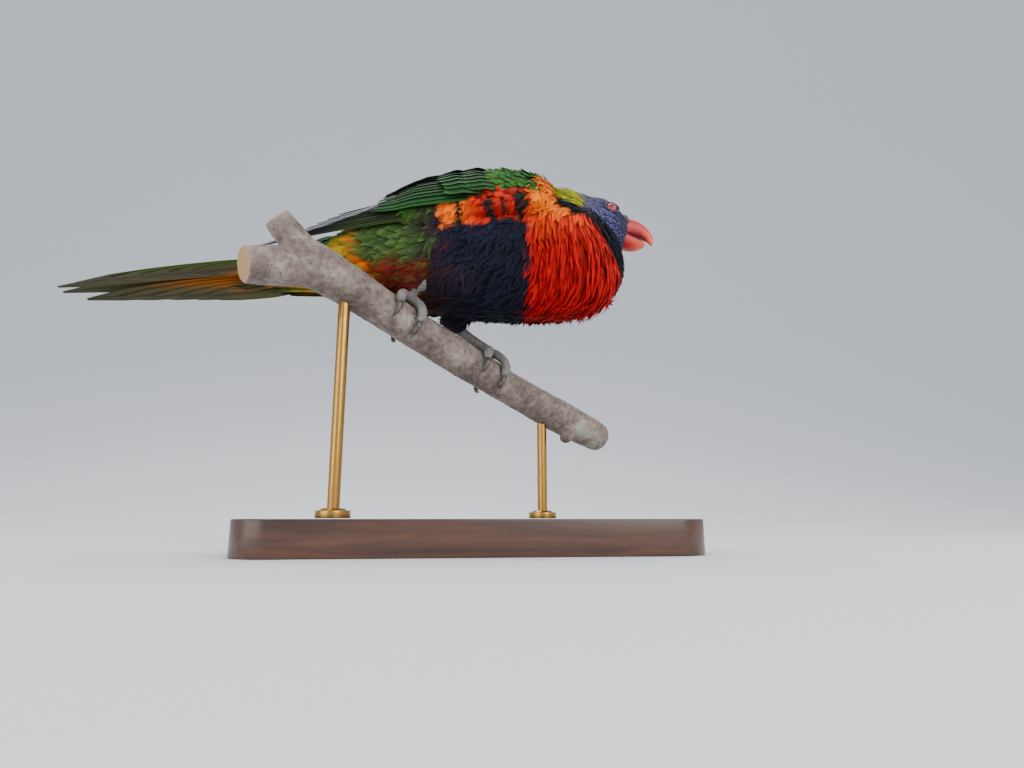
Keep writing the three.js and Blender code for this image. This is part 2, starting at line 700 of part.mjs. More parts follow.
// Parting planes across the body, with half the gap on either side
const PARTS = { rump: -44, breast: 50, neck: -11, neckLean: 12 };
const slab = (from, to) => beyond(from + GAP / 2, 1).intersect(beyond(to - GAP / 2, -1));
const neckPlane = new THREE.Matrix4()
  .makeTranslation(HEAD.x + PARTS.neck, 0, HEAD.z)
  .multiply(new THREE.Matrix4().makeRotationY(radians(HEAD.pitch + PARTS.neckLean)));

function fleshPieces() {
  const ahead = moved(beyond(0, 1), neckPlane);
  const aheadGrown = moved(beyond(-GAP, 1), neckPlane);
  const sockets = [-1, 1].map((side) => moved(eyeBall(side, EYE.radius + GAP), headMatrix));
  const lids = [-1, 1].map((side) => moved(lidRing(side), headMatrix));
  const plumes = cut(union(ruff()), neckGrown);
  const breast = cut(trunkSolid.intersect(slab(PARTS.breast, 200)).add(plumes), headGrown);
  return {
    head: cut(union([headSolid.intersect(ahead), ...lids]), ...sockets),
    neck: cut(union([neckSolid, headSolid]), aheadGrown, trunkGrown),
    breast: cut(breast, trunkGrown.intersect(beyond(PARTS.breast + GAP / 2, -1))),
    torso: trunkSolid.intersect(slab(PARTS.rump, PARTS.breast)),
    rump: cut(union([trunkSolid.intersect(slab(-200, PARTS.rump)), ...rumpCoverts()]), tailRoom),
  };
}

const tailSolid = tail();
// The room that the stack of tail feathers needs between the coverts over and under it
const tailBlock = new THREE.BoxGeometry(60, 2 * 13.2, 10.4);
tailBlock.translate(-30, 0, -2.2);
const tailRoom = moved(solid(tailBlock), tailMatrix);
const flesh = fleshPieces();
const bill = billPieces();
const wings = { right: wing(-1), left: wing(1) };

// The display stand: a flat base with rounded corners, and two rods with collars at their feet
function baseGeometry() {
  const { length, width, corner, height, bevel } = BASE;
  const x = length / 2 - bevel - corner;
  const y = width / 2 - bevel - corner;
  const outline = new THREE.Shape();
  outline.absarc(x, y, corner, 0, Math.PI / 2);
  outline.absarc(-x, y, corner, Math.PI / 2, Math.PI);
  outline.absarc(-x, -y, corner, Math.PI, 1.5 * Math.PI);
  outline.absarc(x, -y, corner, 1.5 * Math.PI, 2 * Math.PI);
  const made = new THREE.ExtrudeGeometry(outline, {
    depth: height - 2 * bevel,
    bevelThickness: bevel,
    bevelSize: bevel,
    bevelSegments: 1,
    curveSegments: 5,
  });
  made.translate(0, 0, bevel);
  return made;
}

function rodSolid(along) {
  const top = onPerch(along, 0, 0);
  const bottom = BASE.height + GAP;
  const { radius, collar, collarHeight } = ROD;
  const profile = [
    [0, bottom],
    [collar, bottom],
    [collar, bottom + collarHeight - 0.8],
    [collar - 0.8, bottom + collarHeight],
    [radius, bottom + collarHeight],
    [radius, top.z],
    [0, top.z],
  ].map(([r, z]) => new THREE.Vector2(r, z));
  const turned = new THREE.LatheGeometry(profile, 16);
  turned.rotateX(Math.PI / 2);
  turned.translate(top.x, top.y, 0);
  return largest(cut(solid(turned), branchGrown));
}

// Finishes
const finish = (color, roughness, metalness = 0) =>
  new THREE.MeshStandardMaterial({ color, roughness, metalness });
const FINISH = {
  head: finish(0x3a4a8c, 0.8),
  neck: finish(0x9aa83a, 0.8),
  breast: finish(0xe0401c, 0.8),
  torso: finish(0x1c2140, 0.85),
  rump: finish(0x7f9a2c, 0.8),
  wing: finish(0x2f6b2a, 0.7),
  tail: finish(0x5f6a2c, 0.7),
  thigh: finish(0x4d7a2c, 0.85),
  foot: finish(0x7b7a78, 0.7),
  claw: finish(0x2c2a2a, 0.4),
  eye: finish(0x8c1616, 0.1),
  bill: finish(0xd8442c, 0.35),
  cere: finish(0x2a2628, 0.6),
  tongue: finish(0x8a3430, 0.4),
  branch: finish(0x8d8075, 0.9),
  base: finish(0x3b2417, 0.4),
  rod: finish(0xb08d4a, 0.3, 1),
};

const model = new THREE.Group();
const bird = new THREE.Group();
bird.applyMatrix4(birdMatrix);
model.add(bird);
const head = new THREE.Group();
head.applyMatrix4(headMatrix);
bird.add(head);
const tailGroup = new THREE.Group();
tailGroup.applyMatrix4(tailMatrix);
bird.add(tailGroup);

// Adds a node to a group. Its solid is given in the frame that `frame` leads from.
function add(name, group, manifold, material, frame = null) {
  const geometry = geometryOf(largest(manifold));
  if (frame) geometry.applyMatrix4(frame.clone().invert());
  const mesh = new THREE.Mesh(geometry, material);
  mesh.name = name;
  group.add(mesh);
}

add("head", head, flesh.head, FINISH.head, headMatrix);
add("neck", bird, flesh.neck, FINISH.neck);
add("breast", bird, flesh.breast, FINISH.breast);
add("torso", bird, flesh.torso, FINISH.torso);
add("rump", bird, flesh.rump, FINISH.rump);
add("right_wing", bird, wings.right, FINISH.wing);
add("left_wing", bird, wings.left, FINISH.wing);
add("tail", tailGroup, tailSolid, FINISH.tail, tailMatrix);
add("upper_bill", head, bill.upper, FINISH.bill, headMatrix);
add("lower_bill", head, bill.lower, FINISH.bill, headMatrix);
add("cere", head, bill.cere, FINISH.cere, headMatrix);
add("tongue", head, bill.tongue, FINISH.tongue, headMatrix);
for (const [side, name] of [[-1, "right"], [1, "left"]]) {
  add(`${name}_eye`, head, eyeBall(side, EYE.radius), FINISH.eye);
  const leg = side < 0 ? rightLeg : leftLeg;
  const thighCut = largest(cut(leg.thighSolid, trunkGrown, moved(branchGrown, rowToBird)));
  add(`${name}_thigh`, bird, thighCut, FINISH.thigh);
  const thighRoom = leg.thighRow;
  const foot = largest(cut(leg.foot, thighRoom, trunkGrownRow, branchGrown));
  add(`${name}_foot`, model, foot, FINISH.foot);
  for (const { toe, solid: claw } of leg.claws) {
    add(`${name}_claw_${toe.name}`, model, largest(claw), FINISH.claw);
  }
}
add("perch_branch", model, branchSolid, FINISH.branch);
const base = new THREE.Mesh(baseGeometry(), FINISH.base);
base.name = "stand_base";
model.add(base);
add("stand_rod_rear", model, rodSolid(ROD.rearAt), FINISH.rod);
add("stand_rod_front", model, rodSolid(ROD.frontAt), FINISH.rod);

export default model;
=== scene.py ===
# %% [markdown]
# # A rainbow lorikeet on its perch
# The part is a still, life-size model of a parrot that leans over a short cut length of branch. Its
# solids come packed as a fixed frame. This lesson dresses them: one smooth skin over the flesh,
# feathers as small solid vanes that grow from it, and the bill, eyes, feet, bark, wood and brass.
# Everything is measured in metres in the frame's own place, so nothing has to be fitted.

# %% Load the frame
import math

import bpy
import numpy as np
from mathutils import Matrix, Vector, noise
from mathutils.bvhtree import BVHTree


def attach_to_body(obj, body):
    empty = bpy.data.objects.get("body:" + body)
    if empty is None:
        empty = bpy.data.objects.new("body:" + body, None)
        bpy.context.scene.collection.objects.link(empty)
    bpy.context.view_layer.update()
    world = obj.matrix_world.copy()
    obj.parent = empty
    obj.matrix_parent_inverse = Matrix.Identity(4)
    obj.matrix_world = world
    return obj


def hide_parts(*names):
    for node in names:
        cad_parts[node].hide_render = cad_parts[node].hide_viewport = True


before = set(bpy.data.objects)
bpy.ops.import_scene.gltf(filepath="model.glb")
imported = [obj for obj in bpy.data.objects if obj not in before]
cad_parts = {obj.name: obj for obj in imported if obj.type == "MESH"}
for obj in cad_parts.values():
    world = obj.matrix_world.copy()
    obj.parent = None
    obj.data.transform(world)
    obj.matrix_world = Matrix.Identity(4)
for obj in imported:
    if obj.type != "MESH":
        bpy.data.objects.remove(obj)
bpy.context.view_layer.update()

# %% [markdown]
# ## Named sizes
# The bird is laid out as a maker lays out a ship: stations along its length, each an oval with its
# own width and its own height above and below the centre. These are the frame's own numbers, in
# millimetres, so the skin can lie a coat's depth inside the solids everywhere.

# %% Sizes of the bird, its perch and its stand, in millimetres
MM = 0.001
BODY = dict(above_perch=47, pitch=6, roll=12)
# The branch, how far it reaches each way, and how far along it each foot stands from the middle
PERCH = dict(x=-14, z=94, radius=8.5, yaw=32, slope=20, rear=78, front=112, foot=26)
BASE = dict(length=184, width=112, height=14, corner=16)
ROD = dict(radius=2.5, collar=7, collar_height=3, rear_at=-54, front_at=68)
TRUNK = dict(
    x=[-68, -60, -46, -26, -4, 20, 42, 60, 74, 84, 90],
    centre=[-3.5, -3, -2.5, -2, 0, 1, 1, 0, -2, -5, -8],
    width=[6.5, 11, 18.5, 26.5, 32, 35, 34.5, 30.5, 23, 14, 3],
    up=[4.5, 8, 14, 21, 27.5, 31.5, 30.5, 25, 17.5, 11.5, 3],
    down=[5, 8.5, 15, 23.5, 31, 36, 38.5, 37.5, 31.5, 20, 4],
)
NECK = dict(
    x=[44, 54, 62, 70, 78, 84],
    centre=[4.5, 6.5, 8.5, 10.5, 11.5, 12],
    width=[20, 24, 23, 19.5, 15, 8],
    up=[23, 24.5, 22.6, 19.4, 16, 9],
    down=[16, 20, 22, 21, 16, 8],
)
SKULL = dict(
    x=[-19, -16, -11, -4, 3, 9, 13.5, 16],
    centre=[0, 0, 0, 0, -0.3, -0.8, -1.6, -2],
    width=[3, 8, 12, 14.4, 14.3, 11.4, 7.6, 5.2],
    up=[3, 8.5, 13, 16, 15.6, 12.4, 8.4, 5.6],
    down=[3, 8.5, 12.8, 15.6, 15.2, 12.8, 9.4, 6.4],
)
WING = dict(
    x=[-92, -70, -45, -20, 5, 24, 38, 48, 54],
    centre=[-1, -1.5, -2, -1.5, 0.4, 1, 1, 1, 1.2],
    width=[8.5, 14.5, 22.6, 30, 34, 35.8, 35.6, 33.8, 31.6],
    up=[8.5, 12, 18.4, 24.8, 30.2, 32.6, 32, 30, 27.6],
    low=[34, 20, 5, -4, -6, -6, -5, -1, 6],
    high=[62, 64, 67, 68, 68, 68, 66, 57, 38],
)
SKULL_AT = dict(x=80, z=12, yaw=-4, pitch=4, roll=14)
BILL_AT = dict(x=14.2, gape=8, hinge=(-2, 0, -4))
EYE = dict(x=4.6, y=10.9, z=3.4, radius=3.3, lid_out=2)
TAIL_AT = dict(x=-66, z=-2.7, pitch=3, roll=12)
TAIL_PAIRS = [(104, 2.2), (95, 5.2), (82, 5.9), (69, 6.6), (57, 7.2), (46, 7.7)]
print("trunk of", len(TRUNK["x"]), "stations, tail of", 2 * len(TAIL_PAIRS), "feathers")

# %% [markdown]
# ## Frames and smooth lines
# The body is pitched and leans with the sloping branch, the head turns level again, and the tail
# twists a little further. Each has its own matrix, so a feather can be planned in the plain frame
# of its own part. A smooth value between stations takes its slope from the neighbours.

# %% Matrices and interpolation
def turn(degrees, axis):
    return Matrix.Rotation(math.radians(degrees), 4, axis)


def shift(x, y, z):
    return Matrix.Translation((x, y, z))


def tilted(x, z, pitch, roll):
    return shift(x, 0, z) @ turn(-pitch, "Y") @ turn(-roll, "X")


BIRD = tilted(PERCH["x"], PERCH["z"] + BODY["above_perch"], BODY["pitch"], BODY["roll"])
LEVEL = BIRD.inverted().to_3x3().to_4x4()
HEAD = shift(SKULL_AT["x"], 0, SKULL_AT["z"]) @ LEVEL @ turn(SKULL_AT["yaw"], "Z")
HEAD = HEAD @ turn(SKULL_AT["pitch"], "Y") @ turn(-SKULL_AT["roll"], "X")
BILL = HEAD @ shift(BILL_AT["x"], 0, 0)
HINGE = shift(*BILL_AT["hinge"])
LOWER = BILL @ HINGE @ turn(BILL_AT["gape"], "Y") @ HINGE.inverted()
TAIL = tilted(**TAIL_AT)


def placed(matrix, points):
    m = np.array(matrix)
    return np.asarray(points) @ m[:3, :3].T + m[:3, 3]


def turned(matrix, vectors):
    return np.asarray(vectors) @ np.array(matrix)[:3, :3].T


def unit(v):
    return v / np.maximum(np.linalg.norm(v, axis=-1, keepdims=True), 1e-9)


def ease(low, high, x):
    t = np.clip((x - low) / (high - low), 0, 1)
    return t * t * (3 - 2 * t)


def fade(low, high, x):
    return 1 - ease(low, high, x)


def smooth(xs, values, x):
    xs, values = np.asarray(xs, float), np.asarray(values, float)
    at = np.clip(x, xs[0], xs[-1])
    i = np.clip(np.searchsorted(xs, at, side="right") - 1, 0, len(xs) - 2)
    n = np.arange(len(xs))
    after, before = np.minimum(n + 1, len(xs) - 1), np.maximum(n - 1, 0)
    reach = (xs[after] - xs[before]).reshape((-1,) + (1,) * (values.ndim - 1))
    slope = (values[after] - values[before]) / reach
    span = xs[i + 1] - xs[i]
    t = (at - xs[i]) / span
    if values.ndim > 1:
        t, span = t[..., None], span[..., None]
    t2, t3 = t * t, t * t * t
    return (
        (2 * t3 - 3 * t2 + 1) * values[i]
        + (t3 - 2 * t2 + t) * span * slope[i]
        + (3 * t2 - 2 * t3) * values[i + 1]
        + (t3 - t2) * span * slope[i + 1]
    )


def measure(table, key, x):
    """One measure of a table of stations, at places x along it."""
    return smooth(table["x"], table[key], x)


def oval_point(table, x, angle, grow):
    high = np.where(np.sin(angle) > 0, measure(table, "up", x), measure(table, "down", x))
    y = (measure(table, "width", x) + grow) * np.cos(angle)
    return np.stack([x, y, measure(table, "centre", x) + (high + grow) * np.sin(angle)], -1)


print("bill root at", np.round(placed(BIRD @ BILL, [0, 0, 0]), 1))

# %% [markdown]
# ## Drawing a form out of a sphere
# A ball is the simplest closed form. Its rings run from pole to pole, so each vertex can be sent to
# a share along a line and an angle round it. The skull, the trunk, a toe or a mandible are all such
# drawn-out balls, closed at both ends and without a seam.

# %% Helpers that add and shape a ball
def deselect():
    if bpy.context.object and bpy.context.object.mode != "OBJECT":
        bpy.ops.object.mode_set(mode="OBJECT")
    bpy.ops.object.select_all(action="DESELECT")


def chosen(*pieces):
    deselect()
    for piece in pieces:
        piece.select_set(True)
    bpy.context.view_layer.objects.active = pieces[0]
    return pieces[0]


def points_of(piece, what="co"):
    """The places of a piece's vertices, or their normals."""
    values = np.empty(len(piece.data.vertices) * 3, np.float32)
    piece.data.vertices.foreach_get(what, values)
    return values.reshape(-1, 3).astype(float)


def fill(items, key, values, kind=np.float32):
    items.foreach_set(key, np.asarray(values, kind).ravel())


def set_points(piece, points):
    fill(piece.data.vertices, "co", points)
    piece.data.update()


def face_out(piece):
    chosen(piece)
    bpy.ops.object.mode_set(mode="EDIT")
    bpy.ops.mesh.select_all(action="SELECT")
    bpy.ops.mesh.normals_make_consistent(inside=False)
    bpy.ops.object.mode_set(mode="OBJECT")
    return piece


def drawn_out(name, segments, rings, place):
    deselect()
    bpy.ops.mesh.primitive_uv_sphere_add(segments=segments, ring_count=rings, radius=1)
    piece = bpy.context.object
    piece.name = piece.data.name = name
    ball = points_of(piece)
    share = np.arccos(np.clip(-ball[:, 2], -1, 1)) / math.pi
    set_points(piece, place(share, np.arctan2(ball[:, 1], ball[:, 0])) * MM)
    return face_out(piece)


def blunt(share, power):
    return np.sqrt(np.clip(1 - np.abs(2 * share - 1) ** power, 0, 1))


def joined(name, pieces):
    whole = chosen(*pieces)
    bpy.ops.object.join()
    whole.name = whole.data.name = name
    return whole


def modified(piece, kind, **values):
    chosen(piece)
    modifier = piece.modifiers.new(kind.title(), kind)
    for key, value in values.items():
        setattr(modifier, key, value)
    bpy.ops.object.modifier_apply(modifier=modifier.name)
    return piece


def fused(piece, voxel, rounds, factor):
    modified(piece, "REMESH", mode="VOXEL", voxel_size=voxel * MM, use_smooth_shade=True)
    return modified(piece, "SMOOTH", factor=factor, iterations=rounds)


def sided(side, name):
    return ("left_" if side > 0 else "right_") + name


# %% [markdown]
# ## Lines that bend
# A toe, a claw, a thigh or the branch follows a smooth line through a few points. The ring at each
# place is carried along the line without twisting.

# %% A limb along a smooth line
# How many points a bent line is read at before it is cut into even shares
FINE = 400


def line_frames(points, shares):
    """The centre of a bent line at each share of its length, and two arrows across it."""
    points = np.asarray(points, float)
    steps = np.linalg.norm(np.diff(points, axis=0), axis=1) ** 0.5
    knots = np.concatenate([[0], np.cumsum(steps)])
    fine = smooth(knots, points, np.linspace(0, knots[-1], FINE))
    run = np.concatenate([[0], np.cumsum(np.linalg.norm(np.diff(fine, axis=0), axis=1))])
    along = unit(np.gradient(fine, axis=0))
    normal = np.empty_like(along)
    guess = np.cross(along[0], (0, 0, 1) if abs(along[0, 2]) < 0.9 else (0, 1, 0))
    for i, way in enumerate(along):
        guess = guess - way * (guess @ way)
        guess /= np.linalg.norm(guess)
        normal[i] = guess
    where = np.interp(shares * run[-1], run, np.arange(FINE))
    pick = lambda table: np.stack([np.interp(where, np.arange(FINE), c) for c in table.T], -1)
    way, side = unit(pick(along)), unit(pick(normal))
    return pick(fine), side, np.cross(way, side)


def limb_place(points, radii, end, skew=lambda s, a: 1.0):
    places = np.linspace(0, 1, len(radii))

    def place(share, angle):
        centre, side, other = line_frames(points, share)
        radius = smooth(places, radii, share) * blunt(share, end) * skew(share, angle)
        ring = side * np.cos(angle)[:, None] + other * np.sin(angle)[:, None]
        return centre + radius[:, None] * ring

    return place


perch_at = np.array([PERCH["x"], 0, PERCH["z"]])
yaw, slope = math.radians(PERCH["yaw"]), math.radians(PERCH["slope"])
along_perch = np.array([math.cos(yaw) * math.cos(slope), math.sin(yaw) * math.cos(slope), -math.sin(slope)])
up_perch = unit(np.array([0, 0, 1.0]) - along_perch * along_perch[2])
side_perch = np.cross(along_perch, up_perch)


def on_perch(along, angle, distance):
    point = perch_at + along * along_perch + np.cos(angle) * distance * up_perch
    return point + np.sin(angle) * distance * side_perch


print("the branch runs along", np.round(along_perch, 3))

# %% [markdown]
# ## The skin
# Under its feathers a bird is one smooth body, so trunk, neck, skull, thighs and the folded arms are
# drawn out as balls, joined, and fused by a voxel remesh. The skin stays inside the solids by the
# depth of the coat that will cover it.

# %% Shapes of the flesh
ARM = dict(rear=-20, front=53, thick=2.4)


def wing_point(x, t, h, side):
    low, high = (np.radians(measure(WING, key, x)) for key in ("low", "high"))
    angle = low + (high - low) * t
    y = side * (measure(WING, "width", x) + h) * np.cos(angle)
    z = measure(WING, "centre", x) + (measure(WING, "up", x) + h) * np.sin(angle)
    return np.stack([x * np.ones_like(angle), y, z], -1)


def arm_height(x, t):
    share = np.clip((x - ARM["rear"]) / (ARM["front"] - ARM["rear"]), 0, 1)
    swell = np.sin(np.pi * share) ** 0.6 * (0.5 + 0.5 * np.sin(np.pi * t))
    return 0.5 + ARM["thick"] * swell


def oval_place(table, grow, matrix):
    def place(share, angle):
        first, last = table["x"][0], table["x"][-1]
        x = 0.55 * (0.5 - 0.5 * np.cos(np.pi * share)) + 0.45 * share
        x = first - grow + (last - first + 2 * grow) * x
        p = oval_point(table, x, angle, grow)
        middle = measure(table, "centre", x)
        end = blunt(share, 30)
        p[:, 1] *= end
        p[:, 2] = middle + (p[:, 2] - middle) * end
        return placed(matrix, p)

    return place


def arm_place(side):
    def place(share, angle):
        x = ARM["rear"] + (ARM["front"] - ARM["rear"]) * share
        inset = 0.1 * np.abs(2 * share - 1) ** 3
        t = inset + (1 - 2 * inset) * (0.5 - 0.5 * np.cos(angle))
        swell = 1.6 * ease(10, 20, x) * fade(44, 52, x)
        outer = arm_height(x, t) - 1.0 + swell
        return placed(BIRD, wing_point(x, t, np.where(np.sin(angle) > 0, outer, -3.4), side))

    return place


def heel_of(side):
    knuckle = on_perch(side * PERCH["foot"], math.radians(-3), 12.1)
    hip = placed(BIRD, [2, side * 19, -24])
    return knuckle, knuckle + (hip - knuckle) * 0.55 + np.array([-3.5, 0, 0])


# %% Fuse the flesh into one skin
flesh = [
    drawn_out("trunk", 72, 90, oval_place(TRUNK, -1.7, BIRD)),
    drawn_out("neck", 56, 40, oval_place(NECK, -1.2, BIRD)),
    drawn_out("skull", 56, 48, oval_place(SKULL, -0.8, BIRD @ HEAD)),
]
for side in (-1, 1):
    heel = placed(BIRD.inverted(), heel_of(side)[1])
    thigh = limb_place([(10, side * 15, -14), (4, side * 15.5, -24), heel], [7.6, 8.6, 2.9], 6)
    flesh.append(drawn_out("thigh", 32, 32, lambda s, a, f=thigh: placed(BIRD, f(s, a))))
    flesh.append(drawn_out("arm", 48, 48, arm_place(side)))
skin = fused(joined("skin", flesh), 0.9, 8, 0.6)
print("skin of", len(skin.data.polygons), "faces")

# %% [markdown]
# ## Reading the skin
# Every small feather needs to know where the skin is and which way it faces, so the skin goes into a
# search tree, in the bird's own frame and in millimetres.

# %% The skin as a surface to plant on
to_bird = BIRD.inverted()
skin_points = placed(to_bird, points_of(skin) / MM)
skin_quads = np.array([p.vertices[:] for p in skin.data.polygons if len(p.vertices) == 4])
tree = BVHTree.FromPolygons(skin_points.tolist(), skin_quads.tolist())
corners = skin_points[skin_quads]
cross = np.cross(corners[:, 2] - corners[:, 0], corners[:, 3] - corners[:, 1])
quad_area = np.linalg.norm(cross, axis=1) / 2
point_normals = np.zeros_like(skin_points)
for c in range(4):
    np.add.at(point_normals, skin_quads[:, c], cross)
point_normals = unit(point_normals)
quad_normals = unit(point_normals[skin_quads].mean(axis=1))


def on_skin(points):
    where = np.empty_like(points)
    which = np.empty(len(points), int)
    for i, p in enumerate(points):
        spot, _, face, _ = tree.find_nearest(p)
        where[i] = spot
        which[i] = face
    return where, quad_normals[which]


# Spots tried for each square of the spacing, before those too near to another are left out
TRIES = 9


def sow(mask, spacing, seed):
    """Roots spread evenly, about `spacing` apart, over the quads that the mask allows."""
    rng = np.random.default_rng(seed)
    allowed = np.flatnonzero(mask)
    area = quad_area[allowed]
    count = int(TRIES * area.sum() / spacing**2)
    pick = allowed[rng.choice(len(allowed), count, p=area / area.sum())]
    a, b = rng.random((2, count, 1))
    c = corners[pick]
    spots = (c[:, 0] * (1 - a) + c[:, 1] * a) * (1 - b) + (c[:, 3] * (1 - a) + c[:, 2] * a) * b
    cells, kept = {}, []
    keys = np.floor(spots / spacing).astype(int)
    near = [(i, j, k) for i in (-1, 0, 1) for j in (-1, 0, 1) for k in (-1, 0, 1)]
    limit = spacing**2
    for n, (spot, key) in enumerate(zip(spots.tolist(), keys.tolist())):
        around = (cells.get((key[0] + i, key[1] + j, key[2] + k), ()) for i, j, k in near)
        others = (other for cell in around for other in cell)
        if all(sum((u - v) ** 2 for u, v in zip(spot, other)) >= limit for other in others):
            cells.setdefault(tuple(key), []).append(spot)
            kept.append(n)
    return spots[kept], quad_normals[pick[kept]]


print("skin area", round(quad_area.sum()), "square millimetres")

# %% [markdown]
# ## Where each colour and each lie belongs
# The bird is mapped by plain questions: how far is a point from the skull, how far along the trunk,
# how high round it, and is it on the folded arm or on a thigh. The same answers steer the lie of the
# feathers, their length, and the colours of both feathers and skin.

# %% The map of the body
def head_frame(p):
    return placed(HEAD.inverted(), p)


def skull_reach(q):
    return np.linalg.norm(q / np.array([18.5, 14.4, 16.0]), axis=-1)


def round_trunk(p):
    """The angle round the trunk in degrees, above or below its side, and how far p stands proud."""
    x, y = p[..., 0], p[..., 1]
    z = p[..., 2] - measure(TRUNK, "centre", x)
    high = np.where(z > 0, measure(TRUNK, "up", x), measure(TRUNK, "down", x))
    wide = measure(TRUNK, "width", x)
    angle = np.degrees(np.arctan2(z / high, np.abs(y) / wide))
    reach = np.hypot(y / wide, z / high)
    return angle, (reach - 1) * 0.5 * (wide + high)


def wave(p, size, seed=0.0):
    """A soft uneven value from -1 to 1, made of a few crossing waves about `size` long."""
    k = 2 * np.pi / size
    x, y, z = p[..., 0], p[..., 1], p[..., 2]
    total = np.sin(k * (x + 0.4 * y) + 1.3 + seed) + np.sin(k * (0.9 * y - 0.7 * z) + 2.1 * seed)
    total = total + np.sin(k * (1.3 * z + 0.5 * x) + 0.7 - seed) + np.sin(1.7 * k * (y + z - x) + seed)
    return total / 4


def below_skull(q):
    """How steeply a point lies below the skull's centre, from -1 above it to 1 right under it."""
    return -q[..., 2] / np.maximum(np.linalg.norm(q, axis=-1), 1e-6)


def body_map(p):
    angle, proud = round_trunk(p)
    x = p[..., 0]
    q = head_frame(p)
    reach, down = skull_reach(q), below_skull(q)
    low, high = measure(WING, "low", x), measure(WING, "high", x)
    share = (angle - low) / (high - low)
    tucked = 0.24 * ease(-20, -10, x)
    front = 42 + 10 * ease(24, 46, angle)
    on_wing = (share > tucked) & (share < 1.0) & (x > ARM["rear"]) & (x < front)
    arm = on_wing & (proud > -1.3) & (reach > 1.25)
    # The cape of hood and collar reaches furthest along the sides of the neck. Behind the cheek its
    # upper part is the lime collar, and below that runs a dark band that widens to the throat.
    limit = 2.02 + 0.85 * fade(0.28, 0.6, down) + 0.05 * wave(p, 9)
    parting = 0.36 - 0.15 * (reach - 1.98) + 0.03 * wave(p, 6, 3)
    behind = -q[..., 0] + 1.2 * wave(p, 5, 4)
    cape = fade(-0.06, 0.06, reach - limit)
    nape = ease(9.5, 12, behind) * fade(25, 29, behind)
    lime = cape * nape * fade(parting - 0.03, parting + 0.02, down)
    fore = fade(23, 28, behind)
    under = ease(parting - 0.02, parting + 0.03, down) * fore
    hood = cape * np.maximum(fade(9.5, 12, behind), under)
    band = cape * fore
    head = hood > 0.5
    thigh = (proud > 0.6) & (angle < -25) & (x < 26) & (x > -15)
    return dict(
        x=x, angle=angle, q=q, reach=reach, hood=hood, lime=lime, band=band, down=down, arm=arm,
        head=head & ~arm, collar=((lime > 0.4) | (band > 0.5)) & ~head & ~arm, thigh=thigh & ~arm,
    )


def lie(p, n):
    """The way that feathers lie at p, along the skin."""
    q = head_frame(p)
    reach = skull_reach(q)
    from_bill = turned(HEAD, unit(q - np.array([17.0, 0, -1.5])))
    neck = fade(2.5, 3, reach) * fade(0.32, 0.5, below_skull(q))
    head_share = np.maximum(fade(1.05, 1.45, reach), 0.85 * neck)
    angle, _ = round_trunk(p)
    x = p[:, 0]
    front = ease(30, 44, x) * fade(30, 55, angle)
    hang = ease(-16, 0, x) * fade(10, 20, angle) * (1 - front)
    side_on = ease(-75, -35, angle)
    back = 0.5 * (x - 54) * side_on - 22 * (1 - side_on)
    fan = unit(np.stack([back, 0 * x, np.minimum(p[:, 2] - 26, -8)], -1))
    body = np.array([-1.0, 0, -0.06]) * (1 - front - hang)[:, None] + fan * front[:, None]
    body = body + np.array([-0.64, 0, -0.77]) * hang[:, None]
    way = unit(body) * (1 - head_share)[:, None] + from_bill * head_share[:, None]
    way = way - n * (way * n).sum(-1, keepdims=True)
    return unit(way)


quad_map = body_map(corners.mean(axis=1))
print("head", int(quad_area[quad_map["head"]].sum()), "arms", int(quad_area[quad_map["arm"]].sum()))

# %% [markdown]
# ## Plumage colours
# The hood is blue-violet and almost black on the throat, with pale shaft streaks. A lime collar lies
# over the nape. The breast glows gold and orange next to the neck and turns red below. The belly is a
# dark violet-blue, the flanks are barred red and dark, and the vent is orange, yellow and green. Each
# feather has a base colour and a tip colour, and the skin below carries the same markings, darker.

# %% Colours of every part of the coat
def colour(red, green, blue):
    c = np.array([red, green, blue]) / 255
    return np.where(c <= 0.04045, c / 12.92, ((c + 0.055) / 1.055) ** 2.4)


INK = colour(14, 14, 22)
BLUE_HEAD, BLUE_STREAK = colour(54, 54, 86), colour(86, 85, 126)
CROWN, THROAT = colour(88, 82, 102), colour(12, 13, 24)
LIME, LIME_DARK = colour(176, 178, 24), colour(34, 48, 18)
GOLD, ORANGE, RED, DEEP_RED = colour(252, 122, 0), colour(246, 76, 0), colour(184, 7, 9), colour(76, 5, 8)
BELLY, BELLY_EDGE = colour(18, 20, 34), colour(33, 36, 56)
GREEN, GREEN_EDGE, GREEN_DARK = colour(26, 76, 26), colour(64, 118, 36), colour(12, 38, 18)
MOSS, MOSS_EDGE = colour(42, 68, 32), colour(78, 100, 46)
MAROON, RUST = colour(74, 20, 20), colour(176, 66, 22)
YELLOW_GREEN, OLIVE = colour(150, 158, 34), colour(88, 84, 46)


def blend(a, b, share):
    share = np.asarray(share, float)[..., None]
    return a * (1 - share) + b * share


# The flank's bright lobes, each with its middle and half its width along the body in millimetres
LOBES = [(0.6, 3.2), (11.2, 4.4), (19.9, 1.4), (26.0, 1.9)]


